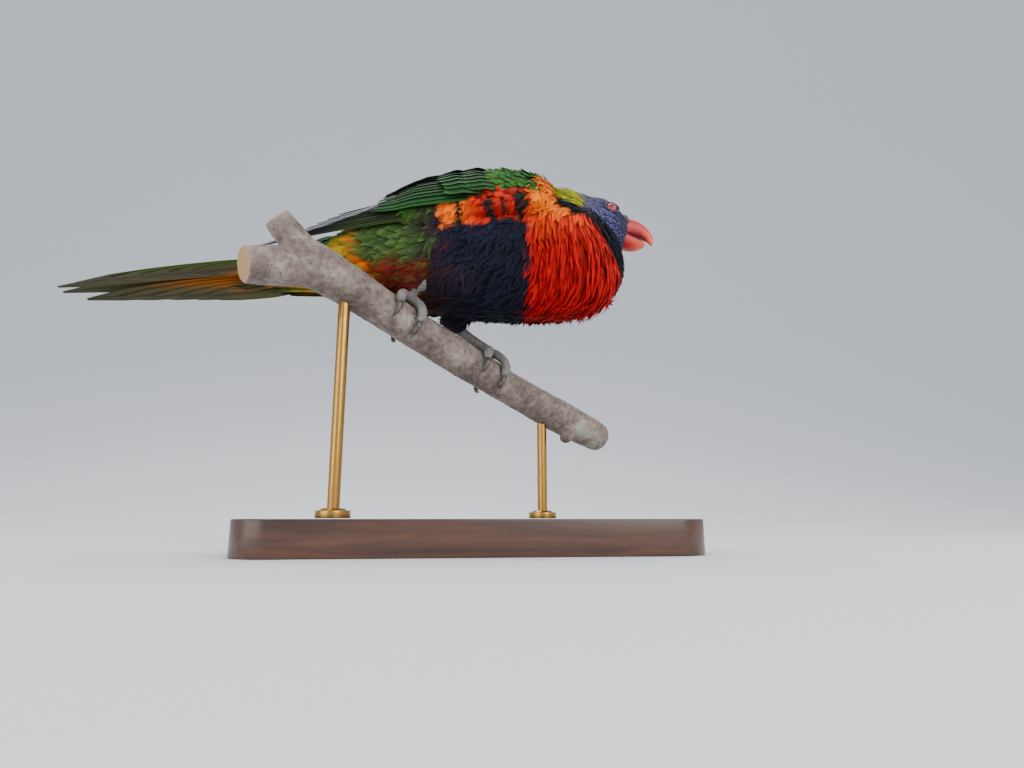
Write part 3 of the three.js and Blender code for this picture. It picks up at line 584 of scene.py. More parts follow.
def plumage(p):
    """Base colour, tip colour and how much of the feather the tip colour takes, at points p."""
    m = body_map(p)
    x, angle = m["x"], m["angle"]
    uneven = wave(p, 13)
    count = len(p)
    base, tip = np.tile(GREEN, (count, 1)), np.tile(GREEN_EDGE, (count, 1))
    share = np.full(count, 0.25)

    def lay(mask, base_colour, tip_colour, tip_share):
        nonlocal base, tip, share
        mask = np.clip(mask, 0, 1)
        base = blend(base, base_colour, mask)
        tip = blend(tip, tip_colour, mask)
        share = share * (1 - mask) + tip_share * mask

    # The back and the rump keep the first green. Below the side come the coloured parts.
    below = fade(12, 19, angle + 3 * uneven)
    rear = fade(-54, -42, x + 6 * uneven)
    vent = fade(-12, -2, x + 5 * uneven) * below
    rust = ease(-38, -24, x + 6 * wave(p, 11, 2))
    flame = blend(ORANGE, GOLD, ease(-0.4, 0.5, wave(p, 9, 2)) * 0.8)
    fire = blend(flame, blend(MAROON, RUST, 0.15), rust)
    lay(vent, fire, blend(YELLOW_GREEN, blend(MAROON, RUST, 0.2), rust), 0.2)
    speckled = vent * ease(0.15, 0.5, wave(p, 7.5, 6)) * (1 - 0.7 * rust)
    lay(speckled, blend(YELLOW_GREEN, GREEN, 0.4), GREEN_DARK, 0.4)
    lay(below * rear, blend(YELLOW_GREEN, GOLD, 0.35), GREEN_DARK, 0.35)
    side_green = fade(18, 26, angle) * ease(-46, -34, x) * fade(-3, 6, x)
    lay(side_green * ease(-46, -30, angle + 9 * uneven), MOSS, MOSS_EDGE, 0.2)
    belly = below * ease(-16, -3, x + 6 * uneven)
    lay(belly, BELLY, BELLY_EDGE, 0.12)
    lay(belly * fade(-8, 4, x + 6 * uneven) * 0.6, MAROON, BELLY, 0.2)
    # The flank's bright lobes with dark gaps run down from the edge of the wing
    flank = belly * ease(-15, -11, angle + 3 * wave(p, 7, 3) - 3 * ease(14, 26, x))
    leaned = x + 0.3 * ease(12, 22, x) * (angle - 4) + 0.7 * wave(p, 9, 5)
    bright = sum(fade(half - 0.5, half + 0.5, np.abs(leaned - middle)) for middle, half in LOBES)
    strip = ease(15, 18, x) * fade(31, 34, x) * ease(7, 10, angle + 2 * wave(p, 6, 2))
    bright = np.clip(np.maximum(bright, strip), 0, 1)
    warmth = fade(2, 15, x + 2 * wave(p, 5, 2))
    lay(flank * ease(-5, -2, x), blend(INK, MOSS, 0.45), INK, 0.3)
    lobe = blend(blend(RED, ORANGE, 0.3 + 0.6 * warmth), GOLD, 0.6 * warmth)
    lay(flank * bright, lobe, blend(RED, GOLD, 0.75 * warmth), 0.2)
    # The breast glows gold and orange next to the neck and turns red below
    edge = 35.5 + 2.2 * wave(p, 7, 1) + 1.3 * wave(p, 3.4, 6)
    breast = ease(edge - 1, edge + 1, x) * fade(42, 50, angle + 4 * uneven)
    glow = fade(0.3, 0.66, m["down"] + 0.04 * uneven) * ease(33, 43, x + 2 * uneven)
    low = fade(-50, -10, angle + 8 * uneven)
    warm = blend(RED, ORANGE, np.clip(0.09 - 0.09 * low + 1.5 * glow, 0, 1))
    warm = blend(warm, GOLD, 0.9 * ease(0.35, 0.95, glow))
    lay(breast, warm, blend(warm, GOLD, 0.35 * glow), 0.3)
    spots = breast * ease(0.35, 0.6, wave(p, 6.5, 8)) * (1 - glow)
    lay(spots * 0.75, blend(DEEP_RED, INK, 0.4), DEEP_RED, 0.3)
    lay(m["thigh"] * 0.7, blend(BELLY, MAROON, 0.2), BELLY, 0.15)
    # Collar, wing and the green of the shoulders
    q = m["q"]
    lay(m["band"] * ease(0.05, 0.15, m["down"]), THROAT, blend(THROAT, GREEN_DARK, 0.4), 0.2)
    lay(m["lime"], LIME_DARK, LIME, 0.6)
    lay(m["arm"] * 1.0, GREEN, GREEN_EDGE, 0.22)
    # The hood
    throat = fade(-13, -10, q[..., 2] + 0.8 * wave(p, 4))
    crown = 0.8 * np.maximum(ease(0.35, 0.8, -m["down"]), ease(1, -8, q[..., 0]))
    face = blend(blend(BLUE_HEAD, CROWN, crown), THROAT, throat)
    lores = np.exp(-(((q[..., 0] - 12.5) / 4.2) ** 2 + ((q[..., 2] - 2.5) / 3.6) ** 2))
    face = blend(face, INK, 0.8 * lores)
    streak = blend(blend(BLUE_STREAK, CROWN * 1.3, 0.7 * crown), THROAT * 1.4, throat)
    plainer = 0.65 * np.maximum(lores, ease(5, 12, q[..., 0]))
    lay(m["hood"], face, blend(streak, face, plainer), 0.4)
    return base, tip, share


def painted(p, shares, across, rng, shaft, shade):
    """Colours, count x stations x columns x 3, read at one place a feather or at one for each station.
    shade darkens them as painted shade.
    """
    count = len(p)
    base, tip, part = plumage(p.reshape(-1, 3))
    base, tip = base.reshape(count, -1, 1, 3), tip.reshape(count, -1, 1, 3)
    part = part.reshape(count, -1, 1)
    s = np.asarray(shares)[None, :, None] + 0.0 * np.asarray(across)[None, None, :]
    ragged = rng.normal(0, 0.05, (count, len(shares), len(across)))
    edge = ease(-0.14, 0.1, s + ragged - (1 - part) + 0.06 * np.abs(across)[None, None, :])
    tint = base * (1 - edge[..., None]) + tip * edge[..., None]
    tint = tint * (0.35 + 0.65 * ease(0.0, 0.4, s))[..., None]
    whole = rng.normal(0, 0.16, (count, 1, 1, 1))
    lightness = np.exp(whole + rng.normal(0, 0.07, (count, len(shares), len(across), 1)))
    streak = np.where(np.abs(np.asarray(across)) < 0.1, shaft, 1.0)[None, None, :, None]
    return np.clip(tint * lightness * streak * np.reshape(shade, (-1, 1, 1, 1)), 0, 1)


# %% [markdown]
# ## A feather as a closed vane
# Each feather is a thin closed body: a cambered upper face, a keel below, and a tip drawn to a
# point. All feathers of one piece are worked out together as arrays, which is quick, and written as
# one joined mesh with its colours, a map along and across each vane for the barbs, and the OFBake map
# that lays each feather as a small patch where its root lies on an unwrap of the skin.

# %% Build many vanes at once
# The unwrap's two islands and the size of a feather's patch, as shares of the map
EDGE, TALL, PATCH = 0.03, 0.94, 0.003
BODY_ISLAND, SKULL_ISLAND = (0.03, 0.60), (0.68, 0.29)
BIRD_REAR, BIRD_LONG = -110, 205
# One unit of the map along and across a vane, in millimetres
VANE_UNIT = 10


def unwrap(p):
    """A place on a flat map for each root: the skull on the right, the rest of the bird on the left."""
    q = head_frame(p)
    polar = np.arccos(np.clip(unit(q)[:, 0], -1, 1)) / np.pi
    islands = []
    along = (p[:, 0] - BIRD_REAR) / BIRD_LONG
    for at, (left, wide), v in ((p, BODY_ISLAND, along), (q, SKULL_ISLAND, polar)):
        u = 0.5 + np.arctan2(at[:, 2], at[:, 1]) / (2 * np.pi)
        islands.append(np.stack([left + wide * u, EDGE + TALL * v], -1))
    body, skull = islands
    return np.where((skull_reach(q) < 1.3)[:, None], skull, body)


def mesh_of(name, points, loops, totals):
    """A mesh from the vertex numbers of each face's corners and the number of corners of each face."""
    starts = np.concatenate([[0], np.cumsum(totals)[:-1]])
    mesh = bpy.data.meshes.new(name)
    mesh.vertices.add(len(points))
    mesh.loops.add(len(loops))
    mesh.polygons.add(len(totals))
    fill(mesh.vertices, "co", points)
    fill(mesh.loops, "vertex_index", loops, np.int32)
    fill(mesh.polygons, "loop_start", starts, np.int32)
    fill(mesh.polygons, "loop_total", totals, np.int32)
    mesh.update(calc_edges=True)
    return mesh


def attach(mesh, name, kind, values):
    """Writes one value or one colour to each vertex."""
    values = np.asarray(values, float)
    if kind == "FLOAT_COLOR":
        values = np.concatenate([values, np.ones_like(values[..., :1])], -1)
    layer = mesh.attributes.new(name, kind, "POINT")
    fill(layer.data, "color" if kind == "FLOAT_COLOR" else "value", values)


def paint(piece, first, second, share):
    attach(piece.data, "Plumage", "FLOAT_COLOR", blend(first, second, share))


def vanes(
    name, spine, out, half, tints, columns, keel, camber, sweep, roots, under=(0.0,), under_tints=None
):
    """spine, out: count x stations x 3; half: count x stations; columns: shares across the top."""
    count, stations = spine.shape[:2]
    columns, under = np.asarray(columns, float), np.asarray(under, float)
    along = unit(np.gradient(spine, axis=1))
    side = unit(np.cross(out, along))
    up = unit(np.cross(along, side))
    half = half[:, :, None, None]

    def layer(across, depth):
        across = across[None, None, :, None]
        sunk = depth + camber * half * across**2
        flat = spine[:, :, None] + side[:, :, None] * (half * across) - up[:, :, None] * sunk
        return flat + along[:, :, None] * (sweep * half * np.abs(across))

    ring = np.concatenate([layer(columns, 0), layer(under, keel)], axis=2)
    m = ring.shape[2]
    cap = np.arange(m)
    first = (np.arange(count) * stations * m)[:, None]
    a = (first + np.arange(stations - 1) * m)[:, :, None] + cap
    b = a - cap + (cap + 1) % m
    quads = np.stack([a, a + m, b + m, b], -1)
    ends = [first + cap, first + (stations - 1) * m + cap[::-1]]
    loops = np.concatenate([quads.ravel()] + [end.ravel() for end in ends])
    totals = np.concatenate([np.full(quads.size // 4, 4), np.full(2 * count, m)])
    mesh = mesh_of(name, placed(BIRD, ring.reshape(-1, 3)) * MM, loops, totals)
    if under_tints is None:
        under_tints = np.repeat(tints[:, :, len(columns) // 2][:, :, None] * 0.6, len(under), 2)
    attach(mesh, "Plumage", "FLOAT_COLOR", np.concatenate([tints, under_tints], axis=2))
    steps = np.linalg.norm(np.diff(spine, axis=1), axis=2)
    run = np.concatenate([np.zeros((count, 1)), np.cumsum(steps, axis=1)], 1)
    across = np.concatenate([columns, under])
    whole = np.ones((count, stations, m))
    vane_uv = np.stack([half[..., 0] * across / VANE_UNIT, run[:, :, None] / VANE_UNIT * whole], -1)
    local = np.stack([across * whole, np.linspace(-1, 1, stations)[None, :, None] * whole], -1)
    bake_uv = unwrap(roots)[:, None, None, :] + 0.5 * PATCH * local
    for uv_name, values in (("OFBake", bake_uv), ("Vane", vane_uv)):
        fill(mesh.uv_layers.new(name=uv_name).data, "uv", values.reshape(-1, 2)[loops])
    piece = bpy.data.objects.new(name, mesh)
    bpy.context.scene.collection.objects.link(piece)
    chosen(piece)
    bpy.ops.object.shade_smooth_by_angle(angle=math.radians(50))
    return piece


# How deep a small feather's keel is in millimetres, and its camber and sweep as shares of its width
KEEL, CAMBER, SWEEP = 0.12, 0.25, 0.25
# How much the feathers of one region vary in length, width and lift
UNEVEN = dict(length=0.09, width=0.08, lift=0.2)
ROOT_RISE = 0.05
TOTALS = {}


def outline_at(outline, shares):
    """Half widths along a feather, as shares of its greatest half width."""
    return np.interp(shares, np.linspace(0, 1, len(outline)), outline)


def coat(name, mask, spacing, length, width, lift, seed, outline, stations=5,
         columns=(-1, -0.5, 0, 0.5, 1), spread=9, loose=0.0, follow=1.0, shaft=1.0, shade=1.0,
         by_place=False):
    """Grows one region's feathers. length, width and lift are numbers or functions of the roots, and so is
    shade, a painted shade that darkens the colours.
    """
    rng = np.random.default_rng(seed)
    roots, normals = sow(mask, spacing, seed)
    count = len(roots)
    value = lambda v: np.asarray(v(roots) if callable(v) else np.full(count, v), float)
    length = value(length) * rng.normal(1, UNEVEN["length"], count)
    width = value(width) * rng.normal(1, UNEVEN["width"], count)
    tip_lift = value(lift) * np.exp(rng.normal(0, UNEVEN["lift"], count))
    way = lie(roots, normals)
    side = np.cross(normals, way)
    stray = np.radians(rng.normal(0, spread, count))[:, None]
    way = way * np.cos(stray) + side * np.sin(stray)
    spine = np.empty((count, stations, 3))
    foot, out = np.empty_like(spine), np.empty_like(spine)
    p, n = roots.copy(), normals.copy()
    step = (length / (stations - 1))[:, None]
    for k in range(stations):
        s = k / (stations - 1)
        rise = ROOT_RISE + (tip_lift - ROOT_RISE) * s**1.15 + loose * tip_lift * s**3
        spine[:, k] = p + n * rise[:, None]
        foot[:, k], out[:, k] = p, n
        if k < stations - 1:
            ahead = p + way * step
            spot, facing = on_skin(ahead)
            p = ahead * (1 - follow) + spot * follow
            n = unit(n * (1 - 0.8 * follow) + facing * 0.8 * follow)
            way = unit(way - n * (way * n).sum(-1, keepdims=True))
    shares = np.linspace(0, 1, stations)
    half = 0.5 * width[:, None] * outline_at(outline, shares)[None, :]
    seen = slice(None) if by_place else slice(stations // 2, stations // 2 + 1)
    tints = painted(foot[:, seen], shares, np.asarray(columns), rng, shaft, value(shade))
    piece = vanes(name, spine, out, half, tints, columns, KEEL, CAMBER, SWEEP, roots)
    m = len(columns) + 1
    TOTALS[name] = count * (2 * m * (stations - 1) + 2 * (m - 2))
    print(name, count, "feathers,", TOTALS[name], "triangles")
    return piece


# %% [markdown]
# ## The coat, region by region
# The feathers are smallest on the face and longest on the breast, where they hang as loose, narrow,
# pointed plumes. Neighbouring regions overlap a little, so the coat has no parting lines.

# %% Head, neck and breast
def front_share(p):
    return ease(-2, 15, head_frame(p)[:, 0])


def low_front(p):
    return ease(52, 72, p[:, 0]) * fade(-25, 6, round_trunk(p)[0])


def to_elbow(p):
    return ease(22, 50, p[:, 0])


q, x, angle = quad_map["q"], quad_map["x"], quad_map["angle"]
head, thigh, arm = quad_map["head"], quad_map["thigh"], quad_map["arm"]
eye_at = [np.array([EYE["x"] + 0.2, side * 13.2, EYE["z"] + 0.2]) for side in (-1, 1)]
eye_gap = np.minimum(*[np.linalg.norm((q - spot) * [1, 0.8, 1], axis=1) for spot in eye_at])
face_free = (eye_gap > 3.8) & ~((q[:, 0] > 13.2) & (np.abs(q[:, 2]) < 7))
free = ~head & ~arm
ruff = free & ~quad_map["collar"]
STRAND = (-1, 0, 1)
coats = [
    coat(
        "head_feathers", head & (quad_map["reach"] < 1.22) & face_free, 1.0,
        lambda p: 5.2 - 3.2 * front_share(p), lambda p: 1.35 - 0.45 * front_share(p),
        lambda p: 0.8 - 0.4 * front_share(p), 21,
        stations=4, columns=STRAND, outline=(0.5, 1, 0.8, 0.1), shaft=1.5,
    ),
    coat(
        "throat_feathers", head & (quad_map["reach"] >= 1.15), 1.35, 8.5, 1.7, 1.5, 22,
        columns=STRAND, outline=(0.5, 1, 0.9, 0.6, 0.1), spread=12, shaft=1.25,
    ),
    coat(
        "neck_feathers", free & (x > 42) & (quad_map["collar"] | (angle > 36)), 1.4, 9.5, 1.9, 1.5, 23,
        columns=STRAND, outline=(0.5, 1, 0.9, 0.6, 0.08), shaft=0.7,
    ),
    # shade darkens this under layer as painted shade, most at the low front, so the gaps between the plumes
    # look dark
    coat(
        "breast_feathers", ruff & (x > 33) & (angle < 46), 1.9, 10, 2.7, 1.7, 24,
        outline=(0.5, 1, 0.85, 0.5, 0.06), spread=12, shade=lambda p: 0.72 - 0.5 * low_front(p),
    ),
    coat(
        "breast_plumes", ruff & (x > 38) & (angle < 34), 2.4, lambda p: 12 + 12 * ease(46, 76, p[:, 0]),
        lambda p: 1.7 + 0.5 * low_front(p), lambda p: 2.2 + 1.4 * ease(58, 82, p[:, 0]), 25,
        stations=7, columns=STRAND, outline=(0.5, 1, 0.95, 0.7, 0.35, 0.06), spread=10,
        loose=0.3, follow=0.85, by_place=True,
    ),
]

# %% Belly, flanks, thighs, vent, back and the small coverts of the folded arm
coats += [
    coat(
        "belly_feathers", free & (x > -12) & (x < 38) & (angle < -8) & ~thigh, 1.9, 11, 2.6, 1.9, 26,
        outline=(0.5, 0.95, 0.9, 0.55, 0.06), spread=20,
    ),
    coat(
        "flank_feathers", free & (x > -14) & (x < 38) & (angle >= -14) & (angle < 18), 1.9, 9.5, 3.4,
        1.7, 27, stations=6, outline=(0.5, 0.95, 1, 0.85, 0.55, 0.08), spread=6, by_place=True,
    ),
    coat("thigh_feathers", thigh, 1.7, 9, 2.6, 1.4, 28, outline=(0.5, 0.95, 1, 0.6, 0.08), spread=13),
    coat(
        "vent_feathers", free & (x <= -8) & (angle < 12) & ~thigh, 2.0,
        lambda p: 11 + 3 * ease(-10, -50, p[:, 0]), 4.0, 1.9, 29,
        outline=(0.5, 0.95, 1, 0.75, 0.12), spread=14,
    ),
    coat(
        "back_feathers", free & (x <= 48) & (angle >= 8), 2.2, 9.5, 4.4, 1.2, 30,
        outline=(0.5, 0.95, 1, 0.85, 0.25), spread=6,
    ),
    # shade darkens the arm coverts as painted shade of the folded wing
    coat(
        "arm_coverts", arm & (x > 19), 1.75, lambda p: 9 - 3.2 * to_elbow(p),
        lambda p: 4.8 - 1.6 * to_elbow(p), 1.3, 31,
        outline=(0.5, 0.95, 1, 0.9, 0.3), spread=5, shade=0.85,
    ),
]

# %% [markdown]
# ## Flight feathers
# The folded wing is a fan of stiff vanes that lie over one another like roof tiles: the primaries
# reach furthest back, the secondaries and the broad tertials close over them, and tiers of coverts
# hide their roots. They follow the same shell as the solids, with more feathers and finer edges.

# %% Long feathers of the folded wings
STIFF = (0.42, 0.8, 0.95, 1, 1, 0.97, 0.88, 0.68, 0.14)
# Each feather leans, so that its lower edge lies over the upper edge of the next one down
SHINGLE = math.tan(math.radians(10))
# Each tier: count, root x, root t, tip x, tip t, width, lift at root and at tip, how soon it lifts
TIERS = [
    (10, (4, 8), (0.1, 0.34), (-90, -48), (0.27, 0.66), 7.6, -0.9, (-1.9, 2.0), 1.0),
    (10, (14, 14), (0.18, 0.66), (-34, -24), (0.24, 0.76), 7.8, -0.9, (2.5, 3.0), 1.6),
    (3, (18, 18), (0.72, 0.9), (-25, -14), (0.8, 0.94), 11, -0.8, (3.6, 3.9), 1.6),
    (12, (24, 24), (0.24, 0.95), (3, 3), (0.22, 0.95), 7.2, -1.2, (3.1, 3.4), 1.6),
    (14, (31, 31), (0.24, 0.96), (13, 13), (0.23, 0.96), 6.4, -0.8, (2.5, 2.7), 1.8),
]
PRIMARIES, SECONDARIES, TERTIALS = 0, 1, 2


def wing_vanes(side, seed):
    rng = np.random.default_rng(seed)
    stations = 16
    columns = np.array([-1, -0.6, -0.1, 0, 0.1, 0.6, 1])
    shares = np.linspace(0, 1, stations)
    s = shares[:, None, None]
    outer = np.clip(-columns * side, 0, 1)[None, :, None]
    quill = np.where(np.abs(columns) < 0.05, 0.6, 1.0)[None, :, None]
    rows = []
    for tier, (count, rx, rt, tx, tt, width, low, high, soon) in enumerate(TIERS):
        for i in range(count):
            f = i / (count - 1)
            pick = lambda pair: pair[0] + (pair[1] - pair[0]) * f
            back = 5 * math.sin(math.pi * pick(rt)) if tier > TERTIALS else 0
            wander = rng.normal(0, 0.8)
            x = (pick(rx) - back) + (pick(tx) + wander - pick(rx)) * shares
            t = pick(rt) + (pick(tt) - pick(rt)) * shares + rng.normal(0, 0.006) * shares
            lift = low + (pick(high) - low) * np.minimum(1, soon * shares)
            place = wing_point(x, t, arm_height(x, t) + lift, side)
            across = unit(wing_point(x, t + 0.02, 0, side) - wing_point(x, t - 0.02, 0, side))
            ahead = unit(wing_point(x + 1, t, 0, side) - wing_point(x - 1, t, 0, side))
            out = unit(unit(np.cross(across, ahead) * side) + across * SHINGLE)
            if tier == PRIMARIES:
                web, edge = INK * 1.2, blend(GREEN, OLIVE, 0.4)
                rim = ease(0.75, 1.0, outer) * fade(0.5, 0.85, s)
            elif tier == SECONDARIES:
                web, edge = INK * 1.4, GREEN
                rim = ease(0.02, 0.4, outer) * (1 - 0.7 * ease(0.8, 1, s))
            else:
                web, edge = blend(GREEN_DARK, GREEN, 0.7), blend(GREEN, GREEN_EDGE, 0.75)
                rim = 0.45 * ease(0.8, 1.0, s) + 0.4 * ease(0.5, 1.0, np.abs(columns))[None, :, None]
                rim = np.clip(rim, 0, 1)
            tint = (web * (1 - rim) + edge * rim) * quill * math.exp(rng.normal(0, 0.12))
            rows.append((place, out, 0.5 * width * outline_at(STIFF, shares), tint))
    spine, out, half, tint = map(np.array, zip(*rows))
    name = sided(side, "wing_feathers")
    beneath = np.tile(colour(52, 50, 46), (len(spine), stations, 3, 1))
    spots = spine[:, 2]
    return vanes(name, spine, out, half, tint, columns, 0.3, 0.06, 0.35, spots, (0.5, 0, -0.5), beneath)


wings = {side: wing_vanes(side, 40 + side) for side in (-1, 1)}
print("wing feathers", sum(t[0] for t in TIERS), "a side")

# %% [markdown]
# ## Tail
# Twelve narrow pointed feathers, graduated from the long middle pair down to the short outer pair.
# From below their webs are olive, and on all but the middle pair the inner web is yellow-orange near
# its root. The long soft coverts of the vent lie over the roots.

# %% Tail feathers
MIDDLE_PAIR, OTHER_PAIRS = (0.7, 0.93, 0.96, 0.9, 0.8, 0.62, 0.1), (0.66, 0.88, 1, 1, 0.92, 0.7, 0.12)


def tail_vanes():
    rng = np.random.default_rng(50)
    stations = 20
    columns = np.array([-1, -0.55, -0.1, 0, 0.1, 0.55, 1])
    under = np.array([0.94, 0.5, 0.0, -0.5, -0.94])
    t = np.linspace(0, 1, stations)
    s = t[:, None]
    web = np.interp(np.abs(under), [0, 0.3, 0.8, 1], [0.5, 1.0, 1.0, 0.55])[None, :, None]
    rows = []
    for pair, (length, y) in enumerate(TAIL_PAIRS):
        for side in (-1, 1):
            spread = y * (0.72 + 0.28 * np.sin(np.pi * np.minimum(1.2 * t, 0.5)))
            x = 2 - (length + 2) * t
            lap = 0.98 if pair == 0 and side > 0 else 0
            z = -0.98 * pair - 0.1 * spread - (0.9 if pair else 0) - 2.6 * (x / 100) ** 2 + lap
            place = placed(TAIL, np.stack([x, side * spread, z], -1))
            out = np.tile(turned(TAIL, unit(np.array([0, side * 0.1, 1.0]))), (stations, 1))
            half = 4.8 * outline_at(OTHER_PAIRS if pair else MIDDLE_PAIR, t)
            # The side arrow runs to the bird's left along a feather that points back
            outer = (-columns * side)[None, :]
            top = blend(GREEN * 0.8, GREEN_EDGE, ease(0, 1, outer) * 0.6 + 0 * s)
            top = blend(top, OLIVE, ease(0.7, 1, s) * 0.6 + 0 * outer)
            inner = (under * side > 0.1)[None, :]
            warm = inner * fade(0.4, 0.85, s) * (pair > 0)
            low = blend(colour(92, 88, 50), blend(GOLD, OLIVE, 0.25), 0.85 * warm)
            low = blend(low, colour(66, 64, 56), ease(0.6, 1, s) * 0.75 + 0 * inner) * web
            rows.append((place, out, half, top, low * math.exp(rng.normal(0, 0.08))))
    spine, out, half, tint, low = map(np.array, zip(*rows))
    return vanes("tail_feathers", spine, out, half, tint, columns, 0.3, 0.05, 0.4, spine[:, 4], under, low)


tail = tail_vanes()


def covert_vanes(name, rows, over, seed):
    """Long soft feathers from the rump's surface to places in the tail's own frame."""
    rng = np.random.default_rng(seed)
    stations = 12
    columns = np.array([-1, -0.5, 0, 0.5, 1])
    k = np.linspace(0, 1, stations)
    grown = []
    for count, x, reach, width, spread, y, z in rows:
        for i in range(count):
            share = i / max(count - 1, 1) - 0.5 + rng.normal(0, 0.03)
            angle = math.radians((90 if over else -90) - 10.8 + spread * share)
            back = -reach * (1 - 0.5 * share * share) + rng.normal(0, 1.2)
            z_tip = z + (-5 if over else 6) * share * share
            tip = np.array([back, (-1 if over else 1) * y * share, z_tip])
            root = oval_point(TRUNK, np.array([x]), np.array([angle]), -3)[0]
            near = oval_point(TRUNK, np.array([x - 5.0]), np.array([angle]), 0.9)[0]
            mid = placed(TAIL, tip * [0.35, 1.05, 1.12])
            line = smooth(np.arange(4), np.array([root, near, mid, placed(TAIL, tip)]), k * 3)
            facing = unit(np.array([0.1, math.cos(angle + 0.15), math.sin(angle + 0.15)]))
            half = 0.5 * width * np.interp(k, [0, 0.3, 0.6, 0.85, 1], [0.7, 1, 0.95, 0.65, 0.08])
            grown.append((line, np.tile(facing, (stations, 1)), half, near, rng.random()))
    spine, out, half, roots, warmth = map(np.array, zip(*grown))
    shape = (len(spine), stations, len(columns))
    s = k[None, :, None]
    if over:
        tint = np.tile(GREEN, (*shape, 1)) * (0.9 + 0.3 * s[..., None])
    else:
        warm = warmth[:, None, None] * (1 - 0.5 * s) + 0 * columns
        body = blend(YELLOW_GREEN, blend(GOLD, ORANGE, 0.3), warm)
        dark = ease(0.62, 0.84, s + rng.normal(0, 0.04, shape))
        tint = blend(body, GREEN_DARK * 1.3, dark * 0.92)
    tint = tint * np.exp(rng.normal(0, 0.1, (len(spine), 1, 1, 1)))
    return vanes(name, spine, out, half, tint, columns, 0.25, 0.12, 0.3, roots)


# Each row: count, root x, reach, width, spread in degrees, then y and z of the tips
UNDER_ROWS = [
    (7, -44, 8, 9, 96, 15, -12.4), (6, -47, 15, 9, 84, 14, -12.2), (6, -50, 20, 8.5, 78, 12.5, -11.6),
    (5, -53, 26, 8, 66, 10.5, -11), (4, -56, 31, 7.5, 46, 8.5, -10.4), (3, -59, 35, 7, 28, 6.5, -9.8),
]
OVER_ROWS = [(5, -50, 12, 9, 90, 12, 4.4), (5, -54, 20, 8.5, 78, 11, 4.1), (4, -57, 27, 8, 60, 9, 3.9)]
undertail = covert_vanes("undertail_coverts", UNDER_ROWS, False, 51)
uppertail = covert_vanes("uppertail_coverts", OVER_ROWS, True, 52)
print("tail coverts", sum(r[0] for r in UNDER_ROWS), "below and", sum(r[0] for r in OVER_ROWS), "above")

# %% [markdown]
# ## Bill, cere and tongue
# The upper mandible is a horn that curves down to a hook, the lower a short scoop that hangs a
# little open. Their colours run along the horn, so they are written to the vertices.

# %% Mandibles
UPPER = dict(
    points=[(-3, 0, 1), (3, 0, 1.4), (8, 0, 0.2), (12.2, 0, -3), (14.2, 0, -7.8)],
    high=[5.6, 5.2, 4.2, 2.7, 0.35], wide=[5.6, 5, 3.9, 2.2, 0.4],
)
UNDER = dict(
    points=[(-3.5, 0, -5.8), (1, 0, -6.9), (5.6, 0, -7.4), (10.6, 0, -6.1)],
    high=[3.6, 3.7, 2.9, 1.1], wide=[5, 4.8, 3.9, 1.8],
)


def mandible(name, shape, matrix, ridge, scoop=0.0):
    points = np.array(shape["points"], float)
    knots, places = np.arange(len(points)), np.linspace(0, 1, len(points))

    def place(share, angle):
        line = lambda s: smooth(knots, points, s * knots[-1])
        way = unit(line(np.minimum(share + 0.01, 1)) - line(np.maximum(share - 0.01, 0)))
        up = np.stack([-way[:, 2], np.zeros(len(way)), way[:, 0]], -1)
        end = blunt(share, 40)
        out = np.sin(angle)
        flat = np.sign(out) * np.abs(out) ** 0.85 * (1 - scoop * np.clip(out, 0, 1) ** 4)
        narrow = 1 - ridge * np.clip(out, 0, 1) ** 3
        high = smooth(places, shape["high"], share) * end
        wide = smooth(places, shape["wide"], share) * end * narrow
        p = line(share) + up * (high * flat)[:, None]
        p[:, 1] += wide * np.cos(angle)
        return placed(BIRD @ matrix, p)

    return drawn_out(name, 48, 64, place)


upper_bill = mandible("upper_mandible", UPPER, BILL, 0.35)
lower_bill = mandible("lower_mandible", UNDER, LOWER, -0.1, 0.75)


def bill_colours(piece, matrix, tip_x, mouth):
    """Red horn that pales to yellow-orange at its tip, and a dark red on the faces turned into the mouth,
    partly the mouth's own darker red and partly painted shade of the gape.
    """
    frame_back = (BIRD @ matrix).inverted()
    p = placed(frame_back, points_of(piece) / MM)
    facing = turned(frame_back, points_of(piece, "normal"))
    toward_tip = ease(0.45 * tip_x, tip_x, p[:, 0] - 0.35 * p[:, 2])
    base = blend(colour(188, 22, 20), colour(226, 84, 30), toward_tip)
    base = blend(base, colour(140, 26, 28), 0.6 * fade(-1.5, 2.0, p[:, 0]))
    # Faces turned into the mouth turn dark red: partly the mouth's own darker red, partly painted shade of
    # the gape
    mouth_and_gape_shade = ease(0.55, 0.85, mouth * facing[:, 2]) * (np.abs(p[:, 1]) < 3.6)
    attach(piece.data, "Plumage", "FLOAT_COLOR", blend(base, colour(110, 8, 22), 0.9 * mouth_and_gape_shade))


bill_colours(upper_bill, BILL, 17, -1)
bill_colours(lower_bill, LOWER, 14, 1)

# %% Cere with its nostrils, and the tongue
def ball_point(share, angle):
    round_it = np.sin(np.pi * share)
    return np.stack([np.cos(angle) * round_it, np.sin(angle) * round_it, -np.cos(np.pi * share)], -1)


def cere_place(share, angle):
    p = ball_point(share, angle) * [3, 6.8, 7.6]
    p[:, 2] = np.where(p[:, 2] < 0, p[:, 2] * 0.15, p[:, 2]) + 1.4
    p[:, 0] -= 0.6
    for side in (-1, 1):
        hole = np.exp(-(np.linalg.norm(p - [0.9, side * 3, 7.2], axis=1) / 0.85) ** 4)
        p = p - hole[:, None] * np.array([0.5, side * 0.3, 1.0])
    return placed(BIRD @ BILL, p)


cere = drawn_out("cere_skin", 64, 64, cere_place)
inside = placed((BIRD @ BILL).inverted(), points_of(cere) / MM)
